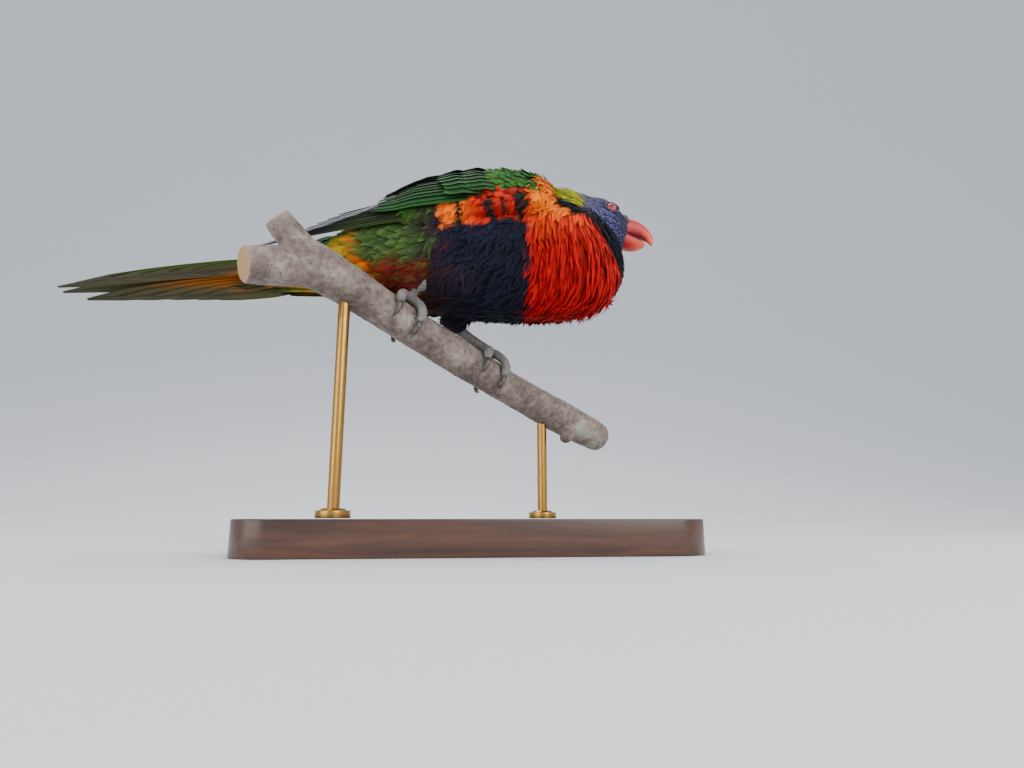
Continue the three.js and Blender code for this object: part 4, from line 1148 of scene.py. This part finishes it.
# The nostrils are painted almost black, as painted shade inside the holes
nostril_shade = sum(np.exp(-(np.linalg.norm(inside - [0.7, s * 2.8, 6.6], axis=1) ** 2)) for s in (-1, 1))
paint(cere, colour(58, 50, 54), colour(8, 6, 8), np.clip(nostril_shade, 0, 1))


def tongue_place(share, angle):
    z, y, x = ball_point(share, angle).T
    p = np.stack([x, y, z], -1) * [5, 2, 0.9]
    p[:, 2] -= 0.25 * np.exp(-((p[:, 1] / 0.7) ** 2)) * (p[:, 2] > 0)
    return placed(BIRD @ BILL @ turn(5, "Y"), p + [2.4, 0, -4.5])


tongue = drawn_out("tongue_flesh", 32, 32, tongue_place)
paint(tongue, colour(120, 40, 40), colour(120, 40, 40), np.zeros(len(tongue.data.vertices)))

# %% [markdown]
# ## Eyes
# A lorikeet's eye is a ball with a round pupil in a red iris, under a clear bulging cornea. Rings of
# vertices run round the line of sight, so pupil, iris and dark rim are painted ring by ring, and a
# clear coat over them stands for the wet cornea. A wrinkled bare lid rings it.

# %% Eyes and lids
def eye_piece(side):
    centre = np.array([EYE["x"], side * EYE["y"], EYE["z"]])

    def place(share, angle):
        bulge = EYE["radius"] + 0.3 * ease(0.74, 1.0, share)
        y = -np.cos(np.pi * share) * bulge
        r = np.sin(np.pi * share) * EYE["radius"]
        p = np.stack([r * np.cos(angle), side * y, r * np.sin(angle)], -1)
        return placed(BIRD @ HEAD, p + centre)

    eye = drawn_out(sided(side, "eyeball"), 64, 96, place)
    p = placed((BIRD @ HEAD).inverted(), points_of(eye) / MM) - centre
    r = np.hypot(p[:, 0], p[:, 2]) + 10 * (p[:, 1] * side < 0)
    round_it = np.arctan2(p[:, 2], p[:, 0])
    spokes = 0.12 * np.sin(23 * round_it) + 0.08 * np.sin(41 * round_it)
    ring = np.clip(0.3 + spokes + 0.5 * ease(1.1, 2.2, r), 0, 1)
    rgb = blend(colour(168, 6, 28), colour(226, 40, 60), ring)
    rgb = blend(rgb, colour(10, 2, 4), fade(0.95, 1.2, r))
    paint(eye, rgb, colour(16, 10, 12), ease(2.3, 2.55, r))
    return eye


def lid_piece(side):
    deselect()
    ring = EYE["radius"] + 0.1
    bpy.ops.mesh.primitive_torus_add(
        major_segments=96, minor_segments=20, major_radius=ring, minor_radius=0.6
    )
    lid = bpy.context.object
    lid.name = lid.data.name = sided(side, "eyelid")
    p = points_of(lid)
    round_eye = np.arctan2(p[:, 1], p[:, 0])
    rim = np.hypot(p[:, 0], p[:, 1]) - ring
    p[:, 2] *= 0.8
    wrinkle = 0.05 * np.sin(54 * rim + 2 * np.sin(7 * round_eye)) + 0.05 * np.sin(31 * round_eye)
    p += p * (wrinkle / np.maximum(np.linalg.norm(p, axis=1), 1e-6))[:, None]
    p[:, 1] *= 0.88
    at = shift(EYE["x"] + 0.4, side * (EYE["y"] + EYE["lid_out"]), EYE["z"] + 0.2)
    matrix = at @ turn(-13 * side, "Z") @ turn(10 * side, "X") @ turn(90, "X")
    set_points(lid, placed(BIRD @ HEAD @ matrix, p) * MM)
    paint(lid, colour(34, 32, 46), colour(66, 64, 96), ease(-0.2, 0.5, rim))
    return face_out(lid)


eyes = {side: eye_piece(side) for side in (-1, 1)}
lids = [lid_piece(side) for side in (-1, 1)]
print("eyes of", 2 * EYE["radius"], "mm")

# %% [markdown]
# ## Feet and claws
# Parrots have two toes forward and two back. The toes are grey and pebbled and carry broad scutes, so
# the rings of each limb swell and pinch along it. Tarsus and toes are fused into one foot, and the
# horn of each claw stays a part of its own.

# %% Feet
TOES = dict(
    inner_front=(78, -6.5, 1), outer_front=(98, 5.5, 1),
    inner_rear=(62, -6, -1), outer_rear=(92, 6, -1),
)
# A toe's line runs round the branch at its radius, the toe's own and a little room
TOE_RING = PERCH["radius"] + 2.3 + 0.3


def toe_point(along, toe, share, lift):
    angle, sideways, way = toe
    along = along + sideways * min(1, share * 1.6)
    return on_perch(along, math.radians(way * angle * share), TOE_RING + lift)


def scutes(length, amount):
    def skew(share, angle):
        pitch = length / 1.5
        plate = np.abs(np.sin(np.pi * pitch * share)) ** 0.4 - 0.75
        grain = 0.02 * np.sin(17 * angle + 9 * share * length) * np.sin(2.3 * share * length * np.pi)
        return 1 + amount * plate + grain

    return skew


def foot_piece(side):
    knuckle, heel = heel_of(side)
    foot = PERCH["foot"]
    top = heel + (heel - knuckle) * 0.25
    tarsus = limb_place([knuckle, (knuckle + heel) / 2, top], [2.9, 2.35, 2.8], 20, scutes(18, 0.1))
    parts = [drawn_out("tarsus", 32, 64, tarsus)]
    for toe in TOES.values():
        points = [toe_point(side * foot, toe, s, 0 if s else 0.8) for s in (0, 0.25, 0.5, 0.75, 1)]
        skew = scutes(TOE_RING * math.radians(toe[0]), 0.12)
        parts.append(drawn_out("toe", 32, 72, limb_place(points, [2.3, 2.25, 2.05, 2.2, 1.9], 14, skew)))
    return fused(joined(sided(side, "foot_skin"), parts), 0.3, 1, 0.3)


def claw_piece(side):
    horns = []
    for toe in TOES.values():
        start = 1 + 0.1 / (TOE_RING * math.radians(toe[0]))
        step = 42 / toe[0] / 3
        points = [
            toe_point(side * PERCH["foot"], toe, start + step * i, lift)
            for i, lift in enumerate((0, 0.7, 0.4, -1.3))
        ]
        horns.append(drawn_out("horn", 24, 32, limb_place(points, [1.5, 1.3, 0.9, 0.16], 16)))
    return joined(sided(side, "claws"), horns)


feet = {side: foot_piece(side) for side in (-1, 1)}
claws = {side: claw_piece(side) for side in (-1, 1)}
for side in (-1, 1):
    for piece, dark, light, size in (
        (feet[side], colour(92, 90, 88), colour(140, 136, 130), 2.2),
        (claws[side], colour(44, 40, 40), colour(90, 82, 76), 3),
    ):
        paint(piece, dark, light, 0.5 + 0.5 * wave(points_of(piece) / MM, size))
print("feet of", [len(f.data.polygons) for f in feet.values()], "faces")

# %% [markdown]
# ## The branch
# A short cut length of a living branch: a main stem that swells at its fork, two arms sawn short, and
# a snapped twig. The bark is grey-brown. Its low ripples are modelled into the fused mesh, while pale
# lichen, small dark pores and the finest grain are left to the material.

# %% Branch
def stem(points, radii, name, around=64, along=160):
    return drawn_out(name, around, along, limb_place(points, radii, 60))


def branch_piece():
    r = PERCH["radius"]
    line = [(-PERCH["rear"], 2.2, 2), (-52, 0, 0.6), (-24, 0, 0), (24, 0, 0), (58, 1.4, 1.2)]
    line = [on_perch(*p) for p in line + [(PERCH["front"], 1.2, 5)]]
    parts = [stem(line, [r + 1.6, r + 0.3, r, r, r - 0.4, r + 0.3, r - 0.5], "stem", 72, 220)]
    fork = on_perch(-69, 2.2, 2)
    cuts = [(line[-1], unit(line[-1] - on_perch(104, 1.2, 4.6)), r - 0.5)]
    for way, length, radius in (((-0.82, -0.5, -0.2), 30, 7.4), ((-0.62, -0.4, 0.7), 25, 5.6)):
        way = unit(np.array(way))
        end = fork + way * length
        radii = [r - 0.6, radius + 0.8, radius]
        parts.append(stem([fork, fork + way * length / 2, end], radii, "arm"))
        cuts.append((end, way, radius))
    twig = [on_perch(88, 1.9, 2), on_perch(85, 2.2, 9), on_perch(80, 2.5, 16)]
    parts.append(stem(twig, [5, 4, 3], "twig", 40, 60))
    piece = fused(joined("bark_branch", parts), 0.8, 5, 0.5)
    p, normal = points_of(piece) / MM, points_of(piece, "normal")
    cut, ring = np.zeros(len(p)), np.zeros(len(p))
    for spot, way, radius in cuts:
        off = p - spot
        ahead = off @ way
        near = (np.abs(ahead) < 2.2) & (normal @ way > 0.75) & (np.linalg.norm(off, axis=1) < radius + 2)
        cut = np.maximum(cut, near)
        ring = np.where(near, np.linalg.norm(off - ahead[:, None] * way, axis=1), ring)
    t = (p - perch_at) @ along_perch
    bumps = np.array([noise.fractal(Vector(v) * 0.16, 0.9, 2.1, 4) for v in p])
    rise = 0.28 * bumps + 0.12 * np.sin(1.9 * t + 3 * bumps) * (bumps > 0)
    set_points(piece, (p + normal * (rise * (1 - cut))[:, None]) * MM)
    attach(piece.data, "Cut", "FLOAT", cut)
    attach(piece.data, "Ring", "FLOAT", ring / 10)
    return piece


branch = branch_piece()
print("branch of", len(branch.data.polygons), "faces")

# %% [markdown]
# ## Display stand
# A dark polished wooden base with rounded corners and a small moulding round its top, and two brass
# rods that stand in turned collars and end in the branch.

# %% Base and rods
def choose(piece, kind, test):
    """Selects the edges or polygons of a piece that pass the test, and enters edit mode."""
    chosen(piece)
    bpy.context.tool_settings.mesh_select_mode = (False, kind == "edges", kind == "polygons")
    bpy.ops.object.mode_set(mode="EDIT")
    bpy.ops.mesh.select_all(action="DESELECT")
    bpy.ops.object.mode_set(mode="OBJECT")
    for item in getattr(piece.data, kind):
        item.select = bool(test(item))
    bpy.ops.object.mode_set(mode="EDIT")


def edge_ends(piece, edge):
    return [piece.data.vertices[i].co for i in edge.vertices]


SHARP = math.radians(35)


def moulded(piece, steps, width, limit):
    """Insets the top face step by step and rounds what is sharper than the angle."""
    choose(piece, "polygons", lambda f: f.normal.z > 0.9)
    for thickness, depth in steps:
        bpy.ops.mesh.inset(thickness=thickness * MM, depth=depth * MM)
    bpy.ops.object.mode_set(mode="OBJECT")
    modified(piece, "BEVEL", width=width * MM, segments=3, limit_method="ANGLE", angle_limit=limit)


def base_piece():
    deselect()
    x, y, h = BASE["length"] * MM, BASE["width"] * MM, BASE["height"] * MM
    bpy.ops.mesh.primitive_cube_add(size=1, location=(0, 0, h / 2), scale=(x, y, h))
    base = bpy.context.object
    base.name = base.data.name = "wooden_base"
    bpy.ops.object.transform_apply(location=True, rotation=False, scale=True)
    choose(base, "edges", lambda e: abs(edge_ends(base, e)[0].z - edge_ends(base, e)[1].z) > 0.5 * h)
    bpy.ops.mesh.bevel(offset=BASE["corner"] * MM, segments=14)
    bpy.ops.object.mode_set(mode="OBJECT")
    moulded(base, ((1.8, 0), (0.9, -0.7), (2.2, 0)), 0.6, SHARP)
    bpy.ops.object.shade_smooth_by_angle(angle=SHARP)
    return base


def cylinder(radius, at, bottom, top):
    place = (at[0] * MM, at[1] * MM, (bottom + top) / 2 * MM)
    depth = (top - bottom) * MM
    bpy.ops.mesh.primitive_cylinder_add(vertices=64, radius=radius * MM, depth=depth, location=place)
    bpy.ops.object.transform_apply(location=True, rotation=True, scale=True)
    return bpy.context.object


def rod_piece(name, along):
    deselect()
    top = on_perch(along, 0, 0)
    bottom = BASE["height"] + 0.3
    rod = cylinder(ROD["radius"], top, bottom, top[2])
    collar = cylinder(ROD["collar"], top, bottom, bottom + ROD["collar_height"])
    moulded(collar, ((1.6, 0), (0.8, 0.9), (0.6, 0)), 0.3, math.radians(30))
    whole = joined(name, [rod, collar])
    bpy.ops.object.shade_smooth_by_angle(angle=SHARP)
    return whole


base = base_piece()
rods = {end: rod_piece(f"brass_rod_{end}", ROD[f"{end}_at"]) for end in ("front", "rear")}
print("stand of", 1 + len(rods), "pieces")

# %% [markdown]
# ## Materials
# The coat takes its colours from the vertices of each feather, so one material serves all soft
# feathers and another the stiff ones. Barbs are fine slanting lines along both webs of each vane, read
# from its own map: they darken the colour a little and raise a low bump. The other finishes are built
# from noise at their real scale.

# %% A node kit and the barbs group
def wire(tree_, kind, inputs, **settings):
    """Adds a node. A socket given as an input is linked, and any other value is set."""
    node = tree_.nodes.new(kind)
    for key, value in settings.items():
        setattr(node, key, value)
    for socket, value in inputs.items():
        if isinstance(value, bpy.types.NodeSocket):
            tree_.links.new(value, node.inputs[socket])
        else:
            node.inputs[socket].default_value = value
    return node


def maths(tree_, operation, a, b=0.0, c=0.0):
    return wire(tree_, "ShaderNodeMath", {0: a, 1: b, 2: c}, operation=operation).outputs[0]


def cloud(tree_, where, scale, **more):
    return wire(tree_, "ShaderNodeTexNoise", {"Vector": where, "Scale": scale, **more}).outputs[0]


def spanned(tree_, value, low, high, start=0.0, end=1.0):
    inputs = {0: value, 1: low, 2: high, 3: start, 4: end}
    return wire(tree_, "ShaderNodeMapRange", inputs).outputs[0]


def mix_socket(tree_, factor, a, b, blend_type="MIX"):
    a, b = (v if isinstance(v, bpy.types.NodeSocket) else (*v, 1.0) for v in (a, b))
    inputs = {0: factor, 6: a, 7: b}
    return wire(tree_, "ShaderNodeMix", inputs, data_type="RGBA", blend_type=blend_type).outputs[2]


def darkened(tree_, tint, shade):
    """A colour times a grey shade."""
    grey = wire(tree_, "ShaderNodeCombineColor", {0: shade, 1: shade, 2: shade}).outputs[0]
    return mix_socket(tree_, 1.0, tint, grey, "MULTIPLY")


def ramp_of(tree_, value, *stops):
    """A colour ramp. The first two stops are its lowest and its highest, and more lie between them."""
    node = wire(tree_, "ShaderNodeValToRGB", {0: value})
    elements = node.color_ramp.elements
    for i, (position, tint) in enumerate(stops):
        stop = elements[i] if i < 2 else elements.new(position)
        stop.position, stop.color = position, (*tint, 1)
    return node.outputs[0]


def make_group(name, inputs, outputs, build):
    group = bpy.data.node_groups.new(name, "ShaderNodeTree")
    for label, kind, default in inputs:
        socket = group.interface.new_socket(label, in_out="INPUT", socket_type="NodeSocket" + kind)
        if default is not None:
            socket.default_value = default
    for label, kind in outputs:
        group.interface.new_socket(label, in_out="OUTPUT", socket_type="NodeSocket" + kind)
    start = group.nodes.new("NodeGroupInput")
    end = group.nodes.new("NodeGroupOutput")
    for label, value in build(group, start.outputs).items():
        group.links.new(value, end.inputs[label])
    return group


def build_barbs(g, given):
    split = wire(g, "ShaderNodeSeparateXYZ", {0: given["Vane"]}).outputs
    slant = maths(g, "MULTIPLY_ADD", maths(g, "ABSOLUTE", split[0]), -1.1, split[1])
    line = maths(g, "SINE", maths(g, "MULTIPLY", slant, given["Fineness"]))
    broken = maths(g, "MULTIPLY_ADD", cloud(g, given["Vane"], 9.0, Detail=3.0), 0.8, 0.3)
    height = maths(g, "MULTIPLY", maths(g, "MULTIPLY_ADD", line, 0.5, 0.5), broken)
    least = maths(g, "MULTIPLY_ADD", given["Depth"], -0.5, 1.0)
    shade = maths(g, "MULTIPLY_ADD", height, given["Depth"], least)
    return {"Color": darkened(g, given["Color"], shade), "Height": height}


BARBS = make_group(
    "Barbs",
    [
        ("Color", "Color", None), ("Vane", "Vector", None),
        ("Fineness", "Float", 120.0), ("Depth", "Float", 0.4),
    ],
    [("Color", "Color"), ("Height", "Float")],
    build_barbs,
)


def build_grain(g, given):
    soft = cloud(g, given["Vector"], given["Scale"], Detail=6.0, Roughness=0.6)
    fine = cloud(g, given["Vector"], maths(g, "MULTIPLY", given["Scale"], 5.0), Detail=4.0)
    both = maths(g, "MULTIPLY_ADD", fine, 0.4, maths(g, "MULTIPLY", soft, 0.6))
    return {"Mask": soft, "Height": both}


GRAIN = make_group(
    "Grain", [("Vector", "Vector", None), ("Scale", "Float", 100.0)],
    [("Mask", "Float"), ("Height", "Float")], build_grain,
)


def material(name, roughness, **sockets):
    """A new material with its tree, its shader and the object's own coordinates."""
    made = bpy.data.materials.new(name)
    made.use_nodes = True
    shader = made.node_tree.nodes["Principled BSDF"]
    shader.inputs["Roughness"].default_value = roughness
    for key, value in sockets.items():
        shader.inputs[key.replace("_", " ")].default_value = value
    where = wire(made.node_tree, "ShaderNodeTexCoord", {}).outputs["Object"]
    return made, made.node_tree, shader, where


def grain_of(tree_, where, scale):
    return wire(tree_, "ShaderNodeGroup", {"Vector": where, "Scale": scale}, node_tree=GRAIN).outputs


def bump(tree_, shader, height, strength, distance):
    node = wire(tree_, "ShaderNodeBump", {"Height": height, "Strength": strength, "Distance": distance})
    tree_.links.new(node.outputs[0], shader.inputs["Normal"])


def attribute(tree_, name):
    return wire(tree_, "ShaderNodeAttribute", {}, attribute_name=name).outputs


def feather_material(name, fineness, depth, roughness, sheen):
    glow = dict(Sheen_Weight=sheen, Sheen_Roughness=0.5, Specular_IOR_Level=0.12)
    made, t, shader, _ = material(name, roughness, **glow)
    vane = wire(t, "ShaderNodeUVMap", {}, uv_map="Vane").outputs[0]
    given = {"Color": attribute(t, "Plumage")["Color"], "Vane": vane, "Fineness": fineness, "Depth": depth}
    barbs = wire(t, "ShaderNodeGroup", given, node_tree=BARBS).outputs
    t.links.new(barbs["Color"], shader.inputs["Base Color"])
    bump(t, shader, barbs["Height"], 0.35, 0.0002)
    return made


def painted_material(name, scale, mottle, strength, distance, roughness, **sockets):
    made, t, shader, where = material(name, roughness, **sockets)
    grain = grain_of(t, where, scale)
    dark = maths(t, "MULTIPLY_ADD", grain["Mask"], mottle, 1.0 - 0.5 * mottle)
    t.links.new(darkened(t, attribute(t, "Plumage")["Color"], dark), shader.inputs["Base Color"])
    rough = maths(t, "MULTIPLY_ADD", grain["Mask"], 0.25, roughness - 0.12)
    t.links.new(rough, shader.inputs["Roughness"])
    bump(t, shader, grain["Height"], strength, distance)
    return made


FEATHERS = feather_material("Soft feathers", 130.0, 0.45, 0.78, 0.02)
STIFF_FEATHERS = feather_material("Flight feathers", 160.0, 0.35, 0.6, 0.04)
SKIN = painted_material("Skin under the coat", 300.0, 0.5, 0.4, 0.0004, 0.85)
HORN = painted_material(
    "Bill horn", 260.0, 0.25, 0.12, 0.0003, 0.45, Coat_Weight=0.06, Coat_Roughness=0.35
)
CERE = painted_material("Cere", 900.0, 0.6, 0.5, 0.0003, 0.6)
TONGUE = painted_material("Tongue", 900.0, 0.4, 0.3, 0.0003, 0.3, Coat_Weight=0.6)
LID = painted_material("Bare lid", 1200.0, 0.6, 0.6, 0.0002, 0.55)
EYE_MATERIAL = painted_material(
    "Eye", 2500.0, 0.12, 0.02, 0.0001, 0.35, Coat_Weight=0.3, Coat_Roughness=0.04
)
SCALES = painted_material("Foot scales", 1400.0, 0.7, 0.6, 0.0003, 0.62)
CLAW = painted_material("Claw horn", 500.0, 0.4, 0.1, 0.0002, 0.3, Coat_Weight=0.3)


def bark_material():
    made, t, shader, where = material("Bark", 0.85)
    grain = grain_of(t, where, 90.0)
    dark, middle, pale = colour(74, 62, 56), colour(122, 108, 100), colour(160, 146, 136)
    bark = ramp_of(t, grain["Height"], (0.32, dark), (0.66, pale), (0.5, middle))
    patch = spanned(t, cloud(t, where, 55.0, Detail=8.0, Roughness=0.7), 0.54, 0.66)
    bark = mix_socket(t, maths(t, "MULTIPLY", patch, 0.75), bark, colour(178, 176, 162))
    cells = {"Vector": where, "Scale": 420.0, "Randomness": 1.0}
    pore = spanned(t, wire(t, "ShaderNodeTexVoronoi", cells).outputs[0], 0.12, 0.22, 1.0, 0.0)
    pore = maths(t, "MULTIPLY", pore, spanned(t, cloud(t, where, 160.0), 0.5, 0.56))
    bark = mix_socket(t, maths(t, "MULTIPLY", pore, 0.7), bark, colour(48, 38, 34))
    rings = maths(t, "SINE", maths(t, "MULTIPLY", attribute(t, "Ring")["Fac"], 75.0))
    rings = maths(t, "MULTIPLY_ADD", rings, 0.5, 0.5)
    wood = mix_socket(t, rings, colour(196, 164, 118), colour(150, 112, 72))
    whole = mix_socket(t, attribute(t, "Cut")["Fac"], bark, wood)
    t.links.new(whole, shader.inputs["Base Color"])
    bump(t, shader, maths(t, "MULTIPLY_ADD", pore, 0.5, grain["Height"]), 0.7, 0.0006)
    return made


def wood_material():
    made, t, shader, where = material("Dark wood", 0.38, Coat_Weight=0.35, Coat_Roughness=0.22)
    long = wire(t, "ShaderNodeMapping", {"Vector": where, "Scale": (4.0, 60.0, 60.0)}).outputs[0]
    figure = cloud(t, long, 3.0, Detail=8.0, Roughness=0.65, Distortion=0.6)
    ramp = ramp_of(t, figure, (0.3, colour(34, 18, 12)), (0.7, colour(96, 56, 34)))
    t.links.new(ramp, shader.inputs["Base Color"])
    t.links.new(maths(t, "MULTIPLY_ADD", figure, 0.3, 0.24), shader.inputs["Roughness"])
    bump(t, shader, figure, 0.15, 0.0003)
    return made


def brass_material():
    made, t, shader, where = material("Brass", 0.25, Metallic=1.0)
    grain = grain_of(t, where, 220.0)
    tint = mix_socket(t, grain["Mask"], colour(196, 150, 78), colour(158, 116, 56))
    t.links.new(tint, shader.inputs["Base Color"])
    t.links.new(maths(t, "MULTIPLY_ADD", grain["Mask"], 0.25, 0.16), shader.inputs["Roughness"])
    bump(t, shader, grain["Height"], 0.05, 0.0002)
    return made


BARK, WOOD, BRASS = bark_material(), wood_material(), brass_material()
print(len(bpy.data.materials), "materials")


# %% Give each piece its finish and its body
def finish_piece(piece, finish, slot, *replaced):
    piece.data.materials.clear()
    piece.data.materials.append(finish)
    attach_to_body(piece, "root")
    if replaced:
        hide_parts(*replaced)


under_base, under_tip, _ = plumage(skin_points)
attach(skin.data, "Plumage", "FLOAT_COLOR", 0.4 * blend(under_base, under_tip, 0.2))
flesh_nodes = ("head", "neck", "breast", "torso", "rump", "left_thigh", "right_thigh")
finish_piece(skin, SKIN, "body_feathers", *flesh_nodes)
SLOTS = dict(head="head_feathers", throat="head_feathers", neck="neck_feathers", breast="breast_feathers",
             belly="body_feathers", flank="body_feathers", thigh="thigh_feathers", vent="rump_feathers",
             back="body_feathers", arm="wing_feathers")
for piece in coats:
    finish_piece(piece, FEATHERS, SLOTS[piece.name.split("_")[0]])
for side in (-1, 1):
    finish_piece(wings[side], STIFF_FEATHERS, "wing_feathers", sided(side, "wing"))
    finish_piece(eyes[side], EYE_MATERIAL, "eye", sided(side, "eye"))
    finish_piece(feet[side], SCALES, "foot_skin", sided(side, "foot"))
    finish_piece(claws[side], CLAW, "claw", *[sided(side, f"claw_{toe}") for toe in TOES])
finish_piece(tail, STIFF_FEATHERS, "tail_feathers", "tail")
for piece in (undertail, uppertail):
    finish_piece(piece, FEATHERS, "rump_feathers")
for piece in lids:
    finish_piece(piece, LID, "head_feathers")
finish_piece(upper_bill, HORN, "bill", "upper_bill")
finish_piece(lower_bill, HORN, "bill", "lower_bill")
finish_piece(cere, CERE, "cere", "cere")
finish_piece(tongue, TONGUE, "tongue", "tongue")
finish_piece(branch, BARK, "bark", "perch_branch")
finish_piece(base, WOOD, "dark_wood", "stand_base")
for end, rod in rods.items():
    finish_piece(rod, BRASS, "brass", f"stand_rod_{end}")
print("triangles of the coats", sum(TOTALS.values()))

# %% [markdown]
# ## Floor, light and camera
# A pale floor curves up far behind, large soft lights stand round the model, and the camera looks up
# at the bird's right side from just above the floor, with the bird where it sits in the photograph's
# frame.

# %% Floor and lights
deselect()
ROOM = dict(size=40, back=2.6, height=6, curve=2.3)
bpy.ops.mesh.primitive_plane_add(size=ROOM["size"], location=(0, ROOM["back"] - ROOM["size"] / 2, 0))
floor = bpy.context.object
floor.name = "pale_floor"
choose(floor, "edges", lambda e: all(p.y > 0.4 * ROOM["size"] for p in edge_ends(floor, e)))
bpy.ops.mesh.extrude_region_move(TRANSFORM_OT_translate={"value": (0, 0, ROOM["height"])})
bpy.ops.object.mode_set(mode="OBJECT")
bpy.ops.object.transform_apply(location=True, rotation=True, scale=True)
modified(floor, "BEVEL", width=ROOM["curve"], segments=32, limit_method="ANGLE")
bpy.ops.object.shade_smooth()
paper = material("Pale paper", 0.95, Base_Color=(0.8, 0.81, 0.82, 1))[0]
floor.data.materials.append(paper)

world = bpy.context.scene.world or bpy.data.worlds.new("Studio")
bpy.context.scene.world = world
world.use_nodes = True
world.node_tree.nodes["Background"].inputs[0].default_value = (0.86, 0.91, 1.0, 1)
world.node_tree.nodes["Background"].inputs[1].default_value = 0.9


def aimed(name, data, place, target):
    """Adds a lamp or a camera at a place and points it at a target."""
    thing = bpy.data.objects.new(name, data)
    thing.location = place
    thing.rotation_euler = (Vector(target) - Vector(place)).to_track_quat("-Z", "Y").to_euler()
    bpy.context.scene.collection.objects.link(thing)
    return thing


def soft_light(name, place, target, size, power, tint=(1, 1, 1)):
    light = bpy.data.lights.new(name, "AREA")
    light.shape, light.size, light.energy, light.color = "DISK", size, power, tint
    aimed(name, light, place, target)


soft_light("Key", (0.5, -0.85, 0.6), (0, 0, 0.14), 0.9, 9, (1, 0.97, 0.92))
soft_light("Fill", (-0.9, -0.7, 0.25), (0, 0, 0.14), 0.9, 5)
soft_light("Top", (-0.1, 0.35, 1.1), (0, 0, 0.12), 0.8, 7)

# %% Camera
camera_data = bpy.data.cameras.new("Camera")
camera_data.lens = 22.77
camera_data.clip_start, camera_data.clip_end = 0.01, 60
camera = aimed("Camera", camera_data, (-0.0241, -0.2993, 0.014), (0.0182, -0.0086, 0.0752))
bpy.context.scene.camera = camera
